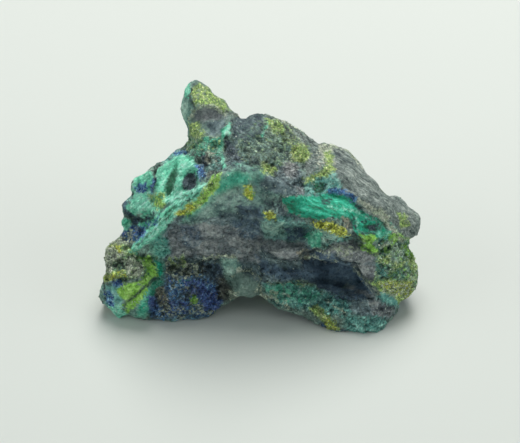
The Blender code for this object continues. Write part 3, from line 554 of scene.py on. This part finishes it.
LINES = {
    # dark lines: dark cracks, with painted shade along the lower edges of ledges and overhangs
    "dark": [
        (0.9, 1.0, [124, 310, 128, 301, 136, 295, 146, 287, 152, 281, 160, 278]),
        (0.5, 1.0, [352, 220, 353, 232, 360, 241, 364, 248, 372, 254, 380, 254]),
        (0.5, 1.2, [262, 249, 272, 257, 284, 262, 296, 261, 304, 254, 318, 250]),
        (0.4, 1.2, [334, 254, 342, 262, 360, 264]), (0.6, 0.9, [191, 88, 190, 98, 194, 107]),
        (0.2, 1.0, [226, 111, 236, 116, 242, 118]), (0.5, 1.0, [123, 212, 132, 217, 146, 217, 156, 213]),
        (0.4, 0.8, [154, 172, 155, 182, 153, 192]), (0.5, 0.9, [158, 214, 166, 207, 172, 204]),
        (0.4, 0.8, [272, 172, 282, 180, 294, 186]), (0.5, 0.9, [356, 268, 366, 281, 378, 293]),
        (0.5, 0.9, [322, 200, 330, 200, 329, 204, 322, 203]),
        (0.5, 0.8, [354, 218, 356, 228, 364, 234, 374, 233, 380, 226]),
        (0.4, 0.7, [362, 222, 372, 219, 382, 222, 388, 230]), (0.4, 0.8, [236, 206, 244, 211, 258, 212]),
        (0.4, 0.8, [104, 284, 105, 298, 101, 304]), (0.4, 0.8, [334, 150, 342, 158, 352, 164]),
        (0.2, 0.8, [352, 201, 360, 210, 368, 216]),
    ],
    "pale": [
        (0.6, 1.1, [189, 119, 194, 111, 203, 105, 214, 107, 226, 115]), (0.3, 0.8, [196, 312, 216, 311]),
        (0.2, 0.8, [355, 269, 364, 281, 378, 292]), (0.4, 0.8, [384, 222, 394, 230, 402, 241]),
        (0.0, 0.7, [232, 276, 240, 269, 252, 271, 260, 281, 258, 292]),
        (0.2, 1.0, [264, 110, 286, 121, 306, 133]), (0.8, 1.2, [203, 259, 212, 256, 224, 256, 237, 258]),
        (0.4, 0.7, [262, 296, 276, 300, 288, 308]), (0.3, 0.7, [326, 300, 344, 312]),
        (0.4, 0.8, [240, 116, 226, 112]), (-0.1, 0.7, [300, 258, 314, 256, 324, 262]),
        (-0.1, 0.7, [324, 254, 336, 262]), (0.3, 0.9, [326, 143, 342, 147, 352, 153, 362, 163]),
        (0.4, 0.8, [380, 248, 388, 242]),
    ],
    "azurite": [
        (1, 2.6, [331, 191, 341, 191, 350, 195, 355, 200]), (0.6, 1.4, [154, 180, 152, 192]),
        (0.2, 1.8, [176, 154, 184, 152]), (0.1, 2.0, [324, 326, 338, 332]),
    ],
    "mint": [
        (0.9, 2.0, [223, 138, 220, 152, 224, 166]), (0.3, 1.5, [268, 122, 262, 134]),
    ],
    "emerald": [
        (0.5, 1.6, [160, 202, 176, 198, 186, 194]), (0.4, 1.4, [148, 222, 158, 214, 164, 208]),
        (0.5, 1.0, [176, 174, 180, 182, 178, 192]),
    ],
    "bright": [
        (0.0, 0.8, [330, 207, 350, 209, 364, 215, 382, 224]), (0.1, 0.8, [356, 218, 358, 230, 368, 237]),
        (0.5, 0.9, [178, 172, 179, 186, 177, 196]), (0.4, 0.8, [142, 304, 150, 290, 158, 281]),
    ],
    "deep_green": [
        (0.2, 0.7, [200, 192, 184, 202, 168, 216, 150, 234, 136, 246]),
        (0.2, 0.6, [176, 205, 160, 220, 150, 230]), (0.0, 0.7, [192, 192, 176, 200, 160, 208]),
    ],
    "tan": [
        (0.4, 1.2, [326, 142, 345, 146, 356, 156, 372, 176]), (0.3, 1.0, [264, 109, 286, 121, 306, 132]),
    ],
}

# What grows on the sides that the picture doesn't show: how many clusters of patches, the patches' size in
# millimetres, and their density.
HIDDEN = {
    "slab": (8, 4.4, 0.8), "front": (9, 4.0, 0.7), "mauve": (10, 2.4, 0.4), "navy": (5, 2.4, 0.3),
    "crust": (8, 3.0, 0.4), "teal": (12, 2.8, 0.5), "sage": (14, 2.8, 0.5), "mint": (6, 1.7, 0.6),
    "emerald": (4, 1.5, 0.7), "azurite": (5, 1.4, 0.0), "violet": (3, 0.8, 0.0), "yellow": (14, 1.1, 0.1),
    "ochre": (5, 0.6, 0.2), "lime": (6, 0.9, 0.0), "rust": (6, 0.8, 0.2), "tan": (10, 1.0, 0.0),
    "pale": (14, 1.0, -0.1), "dark": (10, 0.6, 0.3), "pitted": (12, 3.0, 0.6), "calm": (14, 2.6, 0.6),
}
HIDDEN_BEYOND = 1.0 * MM  # how far past the picture's edge of sight a cluster's middle lies, at least
CLUSTER = 5  # how many patches a cluster has


def grown_masks(layout):
    """For each mineral and vertex how surely it lies there: above 0 inside a patch, up to its density."""
    masks = {}
    for name, areas in AREAS.items():
        layers = [np.minimum(layout.area(outline), density) for density, outline in areas]
        lines = LINES.get(name, [])
        layers += [np.minimum(layout.line(width, path), density) for density, width, path in lines]
        masks[name] = np.maximum.reduce(layers)
    return masks


def grow_out_of_sight(layout, masks):
    """Patches on the back, the far sides and the underside."""
    rng = random.Random(7)
    points = layout.points
    tree = KDTree(len(points))
    for index, point in enumerate(points):
        tree.insert(point, index)
    tree.balance()
    hidden = np.flatnonzero(layout.beyond > HIDDEN_BEYOND)
    for name, (count, size, density) in HIDDEN.items():
        for _ in range(count):
            centre = Vector(points[rng.choice(hidden)])
            for _ in range(CLUSTER):
                spot = centre + Vector([rng.gauss(0, size * 0.7) for _ in range(3)]) * MM
                reach = size * MM * rng.uniform(0.4, 1.1)
                for _, index, far in tree.find_range(spot, reach + BLEND * PIXEL):
                    strength = min((reach - far) / PIXEL / BLEND, density)
                    if layout.beyond[index] > 0:
                        masks[name][index] = max(masks[name][index], strength)


# How many millimetres each kind of relief moves the skin by.
RELIEF = {
    "broken": 0.11, "grit": 0.08, "pits": 0.22, "striae": 0.15, "strands": 0.14, "beds": 0.2, "lumps": 0.16,
    "knobs": 0.22, "crusts": 0.06, "pale": 0.05, "cracks": 0.22,
}


def roughen(skin, masks):
    """Moves the skin in and out, and returns how far: broken rock, pits, and the crusts' own relief."""
    mesh = skin.data
    points = vectors(mesh, "co")
    share = {name: soft_step(values, -0.4, 0.4) for name, values in masks.items()}
    crumbly = np.maximum.reduce([share["crust"], share["yellow"], share["ochre"], share["azurite"]])
    smooth = np.maximum.reduce([share["mint"], share["emerald"], share["bright"], share["calm"] * 0.8])
    slab = share["slab"] * (1 - smooth)
    broken = noise_field(points, 1.7, 1, 4)
    grit = 0.6 - np.abs(noise_field(points, 0.6, 2, 2)) * 2
    pits = soft_step(noise_field(points, 0.8, 4, 2), 0.22, 0.6)
    striae = noise_field(points, 0.5, 5, 2, (SLAB_AXIS, 6))
    strands = noise_field(points, 0.5, 9, 2, (STRAND_AXIS, 6))
    beds = noise_field(points, 0.9, 6, 3, (Vector((1, 0.1, 0.05)), 4))
    edges, own = cell_field(points, 0.6, 3)
    lumps = soft_step(edges, 0.0, 0.35) * (0.6 + 0.4 * own) - 0.4
    edges, own = cell_field(points, 1.5, 8)
    knobs = soft_step(edges, 0.0, 0.4) * (0.7 + 0.3 * own) - 0.4
    height = RELIEF["broken"] * broken * (1 - 0.5 * smooth) + RELIEF["grit"] * grit * (1 - 0.7 * smooth)
    height -= RELIEF["pits"] * pits * (1 - 0.8 * smooth) * (1 - 0.5 * slab) * (1 + 0.6 * share["pitted"])
    height += RELIEF["striae"] * striae * slab + RELIEF["strands"] * strands * share["mint"]
    height += RELIEF["beds"] * beds * share["front"] * (1 - smooth)
    height += RELIEF["lumps"] * lumps * np.maximum.reduce([crumbly, share["pitted"], 0.35 * (1 - smooth)])
    height += RELIEF["knobs"] * knobs * np.maximum(share["azurite"], 0.6 * share["crust"])
    thick = share["yellow"] + share["lime"] + share["mint"]
    height += RELIEF["crusts"] * thick + RELIEF["pale"] * share["pale"]
    # the dark patches are also sunk as real cracks
    height -= RELIEF["cracks"] * soft_step(masks["dark"], -0.2, 0.9)
    moved = points + vectors(mesh, "normal") * (height * MM)[:, None]
    moved[:, 2] = np.maximum(moved[:, 2], 0.0)
    mesh.vertices.foreach_set("co", moved.ravel())
    mesh.update()
    return height


def store(mesh, name, values):
    attribute = mesh.attributes.new(name, "FLOAT", "POINT")
    attribute.data.foreach_set("value", np.asarray(values, dtype=np.float32))


# ---------------------------------------------------------------- materials


class Graph:
    """Short names for the shader nodes that the materials use."""

    def __init__(self, name):
        self.material = bpy.data.materials.new(name)
        self.material.use_nodes = True
        self.nodes = self.material.node_tree.nodes
        self.links = self.material.node_tree.links
        self.shader = self.nodes["Principled BSDF"]
        self.place = self.vector("SCALE", self.add("TexCoord", "Object"), 1000)  # in millimetres

    def add(self, kind, output, inputs=None, **settings):
        """The output of that name of a new node with those settings and inputs."""
        node = self.nodes.new("ShaderNode" + kind)
        for name, value in settings.items():
            setattr(node, name, value)
        for name, value in (inputs or {}).items():
            self.put(value, node.inputs[name])
        return node.outputs[output]

    def put(self, value, socket):
        if isinstance(value, bpy.types.NodeSocket):
            self.links.new(value, socket)
        else:
            socket.default_value = value

    def vector(self, operation, a, b):
        second = "Scale" if operation == "SCALE" else 1
        output = "Value" if operation == "DOT_PRODUCT" else "Vector"
        return self.add("VectorMath", output, {0: a, second: b}, operation=operation)

    def drawn_out(self, axis, times):
        """The place, drawn out along an axis, for textures with a direction."""
        along = self.vector("DOT_PRODUCT", self.place, tuple(axis))
        back = self.math("MULTIPLY", along, 1 / times - 1)
        return self.vector("ADD", self.place, self.vector("SCALE", tuple(axis), back))

    def mask(self, name):
        return self.add("Attribute", "Fac", attribute_name=name)

    def noise(self, size, detail=4, rough=0.55, seed=0, place=None):
        """Noise with grains of that size in millimetres, 0 to 1."""
        inputs = {"W": seed * 7.3, "Scale": 1 / size, "Detail": detail, "Roughness": rough}
        inputs["Vector"] = place or self.place
        return self.add("TexNoise", "Fac", inputs, noise_dimensions="4D")

    def colour_noise(self, size):
        """Noise round 0 in each of three channels."""
        noisy = self.add("TexNoise", "Color", {"Vector": self.place, "Scale": 1 / size})
        return self.vector("SUBTRACT", noisy, (0.5, 0.5, 0.5))

    def cells(self, size, output="Color", place=None, feature="F1"):
        """Grains of that size in millimetres."""
        inputs = {"Vector": place or self.place, "Scale": 1 / size}
        return self.add("TexVoronoi", output, inputs, feature=feature)

    def channel(self, colour, name="Red"):
        return self.add("SeparateColor", name, {"Color": colour})

    def math(self, operation, a, b=0.0):
        return self.add("Math", "Value", {0: a, 1: b}, operation=operation)

    def sum(self, *terms):
        """The sum of (factor, value) terms."""
        total = 0.0
        for factor, value in terms:
            total = self.math("ADD", self.math("MULTIPLY", value, factor), total)
        return total

    def spread(self, value, low, high, out_low=0.0, out_high=1.0):
        """The value from low to high as out_low to out_high, eased at both ends."""
        inputs = {"Value": value, "From Min": low, "From Max": high, "To Min": out_low, "To Max": out_high}
        return self.add("MapRange", "Result", inputs, interpolation_type="SMOOTHSTEP")

    def mix(self, share, a, b, blend="MIX"):
        """Colour a changed to b by the share. The node's colour sockets are its seventh and eighth."""
        return self.add("Mix", 2, {"Factor": share, 6: a, 7: b}, data_type="RGBA", blend_type=blend)

    def ramp(self, value, *stops):
        """A colour for each place on 0 to 1: (place, colour) pairs."""
        node = self.nodes.new("ShaderNodeValToRGB")
        elements = node.color_ramp.elements
        while len(elements) < len(stops):
            elements.new(0.5)
        for element, (place, colour) in zip(elements, stops):
            element.position = place
            element.color = colour
        self.links.new(value, node.inputs["Fac"])
        return node.outputs["Color"]

    def bump(self, height, distance, strength=1.0):
        inputs = {"Height": height, "Distance": distance, "Strength": strength}
        return self.add("Bump", "Normal", inputs)


# The layers of the skin, from the rock up. Each has its mask, how soft its edge is, how ragged, what mottles
# it, and its colours from dark to light.
LAYERS = (
    ("slab", 0.5, 1.0, "striae", ((58, 69, 68), (100, 113, 110), (138, 149, 143), (174, 181, 175))),
    ("front", 0.6, 1.0, "patches", ((50, 68, 75), (81, 101, 106), (116, 135, 139), (152, 170, 170))),
    ("mauve", 0.7, 0.9, "patches", ((82, 88, 94), (120, 126, 130), (154, 158, 158), (184, 186, 184))),
    ("crust", 0.5, 1.0, "grain",
     ((84, 134, 108), (130, 186, 148), (168, 206, 138), (202, 224, 158), (210, 234, 208))),
    ("teal", 0.7, 0.9, "mid", ((66, 128, 124), (110, 176, 166), (168, 218, 206))),
    ("sage", 0.7, 0.7, "patches", ((76, 112, 106), (126, 164, 152), (164, 198, 182), (194, 220, 206))),
    ("navy", 0.6, 0.8, "patches", ((54, 72, 90), (82, 104, 124), (118, 140, 156))),
    ("haze", 1.0, 0.3, "mid", ((82, 158, 136), (118, 192, 164), (162, 216, 190))),
    ("sea", 1.0, 0.3, "mid", ((46, 136, 112), (72, 172, 144), (110, 200, 172))),
    ("emerald", 0.25, 0.7, "veins", ((18, 100, 76), (26, 150, 116), (40, 172, 140), (88, 206, 174))),
    ("mint", 0.3, 0.7, "mid", ((58, 146, 118), (98, 198, 164), (138, 222, 192), (186, 236, 216))),
    ("bright", 0.5, 0.8, "strands", ((76, 164, 136), (134, 218, 190), (192, 240, 224))),
    ("deep_green", 0.4, 0.6, "fine", ((16, 62, 44), (30, 92, 66), (60, 124, 94))),
    ("slate", 0.4, 0.6, "fine", ((38, 52, 60), (58, 74, 82), (104, 116, 124))),
    ("azurite", 0.4, 1.0, "fine", ((46, 70, 110), (74, 118, 176), (108, 164, 208), (174, 206, 222))),
    ("violet", 0.5, 0.9, "fine", ((54, 70, 124), (76, 100, 168), (118, 144, 204))),
    ("umber", 0.7, 1.0, "fine", ((66, 72, 72), (98, 102, 94), (140, 142, 124))),
    ("rust", 0.4, 0.9, "strands", ((98, 98, 88), (150, 146, 128), (192, 184, 164))),
    ("tan", 0.5, 1.0, "fine", ((116, 124, 110), (188, 192, 172), (230, 230, 214))),
    ("lime", 0.35, 0.9, "mid", ((84, 136, 48), (146, 204, 84), (196, 236, 142))),
    ("yellow", 0.5, 0.9, "fine", ((78, 112, 68), (154, 192, 106), (206, 230, 138), (244, 250, 192))),
    ("ochre", 0.4, 1.0, "fine", ((134, 146, 52), (224, 232, 90), (246, 250, 150))),
    ("pale", 0.4, 1.1, "fine", ((108, 126, 106), (210, 222, 192), (250, 252, 237))),
    # dark: cracks darkened with painted shade
    ("dark", 0.5, 0.6, "fine", ((30, 42, 48), (48, 62, 68), (72, 88, 92))),
)
SMOOTH_LAYERS = ("haze", "sea", "mint", "emerald", "bright")
CRUMBLY_LAYERS = ("crust", "yellow", "ochre", "pale")
ROCK = ((0.34, (66, 92, 86)), (0.5, (108, 136, 126)), (0.66, (160, 180, 166)))  # what lies under the layers
WASH = (116, 136, 128)  # which covers broad stretches of the rock by half
# CREVICE_SHADE_COLOUR is the painted shade in holes, crevices and gaps between grains
CREVICE_SHADE_COLOUR, MIDDLE_RANGE = (16, 30, 32), (0.39, 0.61)
# CREST_HIGHLIGHT_COLOUR is the painted highlight on crests
CREST_HIGHLIGHT_COLOUR = (214, 226, 216)
# the relief that gets the darkest painted shade and the lightest painted highlight
SUNK_AND_PROUD = (-0.24, 0.12)  # the relief, in millimetres, that is shaded darkest and lightest
BUMP_DEPTH = 0.22 * MM


def shade_places(count):
    """Where a layer's colours stand on its mottling, as noise keeps that near the middle."""
    low, high = MIDDLE_RANGE
    return [low + (high - low) * i / (count - 1) for i in range(count)]


def skin_material():
    g = Graph("mineral_crusts")
    warped = g.vector("ADD", g.place, g.vector("SCALE", g.colour_noise(0.7), 0.6))
    broad = g.noise(2.8, 3, 0.6, 1)
    mid = g.noise(0.95, 4, 0.6, 2)
    fine = g.noise(0.29, 4, 0.7, 3)
    grain = g.cells(0.36, "Color", warped)
    mottle = {
        "mid": g.sum((0.6, mid), (0.4, fine)),
        "fine": g.sum((0.25, mid), (0.75, fine)),
        "grain": g.sum((0.18, g.channel(grain)), (0.55, fine), (0.45, mid), (1.0, -0.09)),
        "patches": g.sum((0.65, g.noise(1.5, 5, 0.6, 5, g.drawn_out((0.98, 0.17, 0.0), 1.6))), (0.35, fine)),
        "striae": g.sum((0.6, g.noise(0.28, 4, 0.65, 4, g.drawn_out(SLAB_AXIS, 6))), (0.4, fine)),
        "veins": g.sum((0.7, g.noise(0.4, 4, 0.6, 6, g.drawn_out(VEIN_AXIS, 4))), (0.3, fine)),
        "strands": g.sum((0.75, g.noise(0.3, 4, 0.6, 9, g.drawn_out(STRAND_AXIS, 6))), (0.25, fine)),
    }
    rock = g.ramp(mottle["mid"], *[(place, srgb(*shade)) for place, shade in ROCK])
    colour = g.mix(g.spread(broad, 0.4, 0.6, 0.0, 0.5), rock, srgb(*WASH))
    smooth, crumbly = 0.0, 0.0
    for index, (name, softness, ragged, pattern, shades) in enumerate(LAYERS):
        channel = ("Red", "Green", "Blue")[index % 3]
        blots = g.noise(0.8, 4, 0.62, 10 + index)
        specks = g.sum((2.0, blots), (0.9, g.channel(grain, channel)), (1.0, -1.45))
        cover = g.spread(g.sum((1.0, g.mask(name)), (ragged * 0.9, specks)), -softness, softness)
        stops = [(place, srgb(*shade)) for place, shade in zip(shade_places(len(shades)), shades)]
        colour = g.mix(cover, colour, g.ramp(mottle[pattern], *stops))
        if name in SMOOTH_LAYERS:
            smooth = g.math("MAXIMUM", smooth, cover)
        if name in CRUMBLY_LAYERS:
            crumbly = g.math("MAXIMUM", crumbly, cover)

    # Painted shade: small holes, winding crevices and the gaps between grains are darkened. Painted
    # highlight: crests are made paler.
    pitted = g.spread(g.mask("pitted"), -0.4, 0.8)
    calm = g.spread(g.mask("calm"), -0.4, 0.8)
    uneven = g.sum((-0.6, g.math("MAXIMUM", smooth, calm)), (1.0, 1.0))
    pit_shade = g.spread(g.sum((1.0, g.noise(0.46, 3, 0.7, 7, warped)), (-0.05, pitted)), 0.46, 0.36)
    wander = g.math("ABSOLUTE", g.sum((1.0, g.noise(0.62, 2, 0.6, 31, warped)), (1.0, -0.5)))
    winding_crevice_shade = g.math("MULTIPLY", g.spread(wander, 0.05, 0.012), g.sum((0.6, pitted), (0.1, uneven)))
    grain_gap_shade = g.spread(g.cells(0.36, "Distance", warped, "DISTANCE_TO_EDGE"), 0.14, 0.0)
    grain_gap_shade = g.math("MULTIPLY", grain_gap_shade, g.sum((0.5, crumbly), (0.1, uneven)))
    # crest_highlight: a painted highlight that pales the crests of the mottling
    crest_highlight = g.math("MULTIPLY", g.spread(g.noise(0.38, 3, 0.7, 8, warped), 0.56, 0.68), uneven)
    speckle = g.spread(g.noise(0.34, 3, 0.75, 12, warped), 0.36, 0.64, -0.34, 0.5)
    speckle = g.sum((1.0, g.math("MULTIPLY", speckle, g.sum((1.2, uneven), (-0.2, 1.0)))), (1.0, 1.0))
    colour = g.mix(1.0, colour, speckle, "MULTIPLY")
    pit_shade = g.math("MULTIPLY", pit_shade, g.sum((0.8, uneven)))
    # painted shade in holes, crevices and gaps between grains
    dark = g.math("MAXIMUM", winding_crevice_shade, g.math("MAXIMUM", grain_gap_shade, pit_shade))
    colour = g.mix(dark, colour, g.mix(0.72, colour, srgb(*CREVICE_SHADE_COLOUR)))
    colour = g.mix(g.math("MULTIPLY", crest_highlight, 0.35), colour, srgb(*CREST_HIGHLIGHT_COLOUR))

    # Painted shade darkens the hollows of the relief, and a painted highlight lightens its heights.
    relief_shade_and_highlight = g.spread(g.mask("relief"), *SUNK_AND_PROUD)
    shading = g.ramp(relief_shade_and_highlight, (0.0, (0.5, 0.54, 0.56, 1)), (0.5, (1.0, 1.0, 1.0, 1)), (1.0, (1.2, 1.2, 1.18, 1)))
    g.links.new(g.mix(1.0, colour, shading, "MULTIPLY"), g.shader.inputs["Base Color"])

    glint = g.spread(g.channel(grain, "Red"), 0.9, 0.95)
    rough = g.sum((1.0, g.spread(fine, 0.3, 0.7, 0.6, 0.85)), (-0.35, glint))
    g.links.new(rough, g.shader.inputs["Roughness"])
    g.shader.inputs["Specular IOR Level"].default_value = 0.4
    relief = g.sum((0.5, fine), (0.5, mid), (-1.2, dark), (0.5, crest_highlight), (0.4, g.channel(grain)))
    g.links.new(g.bump(relief, BUMP_DEPTH), g.shader.inputs["Normal"])
    return g.material


# ---------------------------------------------------------------- grains and crystals


def grain_material(name, shades, roughness, specular):
    g = Graph(name)
    stops = [(place, srgb(*shade)) for place, shade in shades]
    g.links.new(g.ramp(g.channel(g.cells(0.35)), *stops), g.shader.inputs["Base Color"])
    g.shader.inputs["Roughness"].default_value = roughness
    g.shader.inputs["Specular IOR Level"].default_value = specular
    g.links.new(g.bump(g.noise(0.12, 2), 0.03 * MM, 0.6), g.shader.inputs["Normal"])
    return g.material


def blade():
    """A flat six-sided crystal with bevelled ends, unit size, standing on its end."""
    ring = [(math.cos(a) * 0.5, math.sin(a) * 0.22) for a in [i * math.tau / 6 for i in range(6)]]
    low = [(x, y, -0.5) for x, y in ring]
    high = [(x * 0.9, y * 0.9, 0.4) for x, y in ring]
    tip = [(0.0, 0.0, 0.65)]
    faces = [(i, (i + 1) % 6, 6 + (i + 1) % 6, 6 + i) for i in range(6)]
    faces += [(6 + i, 6 + (i + 1) % 6, 12) for i in range(6)] + [tuple(reversed(range(6)))]
    return low + high + tip, faces


def lump():
    """A rough grain of eight faces, unit size."""
    corners = [(0.5, 0, 0), (-0.5, 0, 0), (0, 0.5, 0), (0, -0.5, 0), (0, 0, 0.5), (0, 0, -0.5)]
    faces = [(0, 2, 4), (2, 1, 4), (1, 3, 4), (3, 0, 4), (2, 0, 5), (1, 2, 5), (3, 1, 5), (0, 3, 5)]
    return corners, faces


# The pieces of grains and crystals: their shape, number, sizes in millimetres and lean, the seeds of their
# spots and their forms, and their material, whose shades stand at places on 0 to 1.
GRAINS = {
    "azurite_crystals": (blade, 450, (0.14, 0.32), 0.9, 11, 21, {
        "shades": ((0.0, (40, 60, 104)), (0.6, (68, 102, 160)), (1.0, (128, 164, 206))),
        "roughness": 0.25, "specular": 0.6}),
    "volborthite_rosettes": (lump, 600, (0.12, 0.26), 0.6, 12, 22, {
        "shades": ((0.0, (98, 132, 80)), (0.5, (142, 174, 100)), (1.0, (194, 212, 148))),
        "roughness": 0.5, "specular": 0.5}),
    "quartz_grains": (lump, 2200, (0.10, 0.24), 0.5, 13, 23, {
        "shades": ((0.0, (88, 110, 98)), (0.5, (148, 170, 152)), (1.0, (222, 232, 218))),
        "roughness": 0.4, "specular": 0.5}),
}
CLEAR_OF_FLOOR = 0.5 * MM


def scatter(name, shape, spots, sizes, lean, material, seed):
    """One mesh of many copies of the shape, each half sunk in the skin: spots are (place, slope) pairs."""
    rng = random.Random(seed)
    corners, faces = shape()
    points, polygons = [], []
    for place, slope in spots:
        up = (slope + Vector([rng.gauss(0, lean) for _ in range(3)])).normalized()
        turn = up.to_track_quat("Z", "Y").to_matrix() @ Matrix.Rotation(rng.uniform(0, math.tau), 3, "Z")
        size = rng.uniform(*sizes) * MM
        stretch = [size * rng.uniform(0.75, 1.25) for _ in range(3)]
        start = len(points)
        for corner in corners:
            wobble = Vector([c * s * rng.uniform(0.85, 1.15) for c, s in zip(corner, stretch)])
            points.append(place + turn @ wobble)
        polygons += [tuple(start + i for i in face) for face in faces]
    mesh = bpy.data.meshes.new(name)
    mesh.from_pydata(points, [], polygons)
    mesh.materials.append(material)
    piece = new_object(name, mesh)
    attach(piece, "root")


def pick_spots(skin, weight, count, seed):
    """Places and slopes on the skin, chosen where the weight is high."""
    rng = np.random.default_rng(seed)
    points, slopes = vectors(skin.data, "co"), vectors(skin.data, "normal")
    share = np.where(points[:, 2] > CLEAR_OF_FLOOR, np.clip(weight, 0, None), 0)
    count = min(count, int((share > 0).sum()))
    chosen = rng.choice(len(points), size=count, replace=False, p=share / share.sum())
    return [(Vector(points[i]), Vector(slopes[i])) for i in chosen]


def add_grains(skin, masks):
    share = {name: soft_step(values, -0.3, 0.6) for name, values in masks.items()}
    bare = 1 - np.maximum.reduce([share[n] for n in ("mint", "emerald", "dark", "azurite", "navy")])
    weights = {
        "azurite_crystals": share["azurite"],
        "volborthite_rosettes": share["yellow"],
        "quartz_grains": 0.25 * bare + 1.6 * share["pale"] + 0.5 * share["crust"],
    }
    for name, (shape, count, sizes, lean, spots_seed, seed, looks) in GRAINS.items():
        spots = pick_spots(skin, weights[name], count, spots_seed)
        scatter(name, shape, spots, sizes, lean, grain_material(name, **looks), seed)


# ---------------------------------------------------------------- the whole


def main():
    add_camera()
    add_floor()
    light_scene()
    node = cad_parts["specimen"]
    skin = fine_skin(node)
    layout = Layout(skin.data)
    masks = grown_masks(layout)
    grow_out_of_sight(layout, masks)
    store(skin.data, "relief", roughen(skin, masks))
    for name, values in masks.items():
        store(skin.data, name, values)
    skin.data.materials.append(skin_material())
    skin.data.shade_smooth()
    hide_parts("specimen")
    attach(skin, "root")
    add_grains(skin, masks)


main()
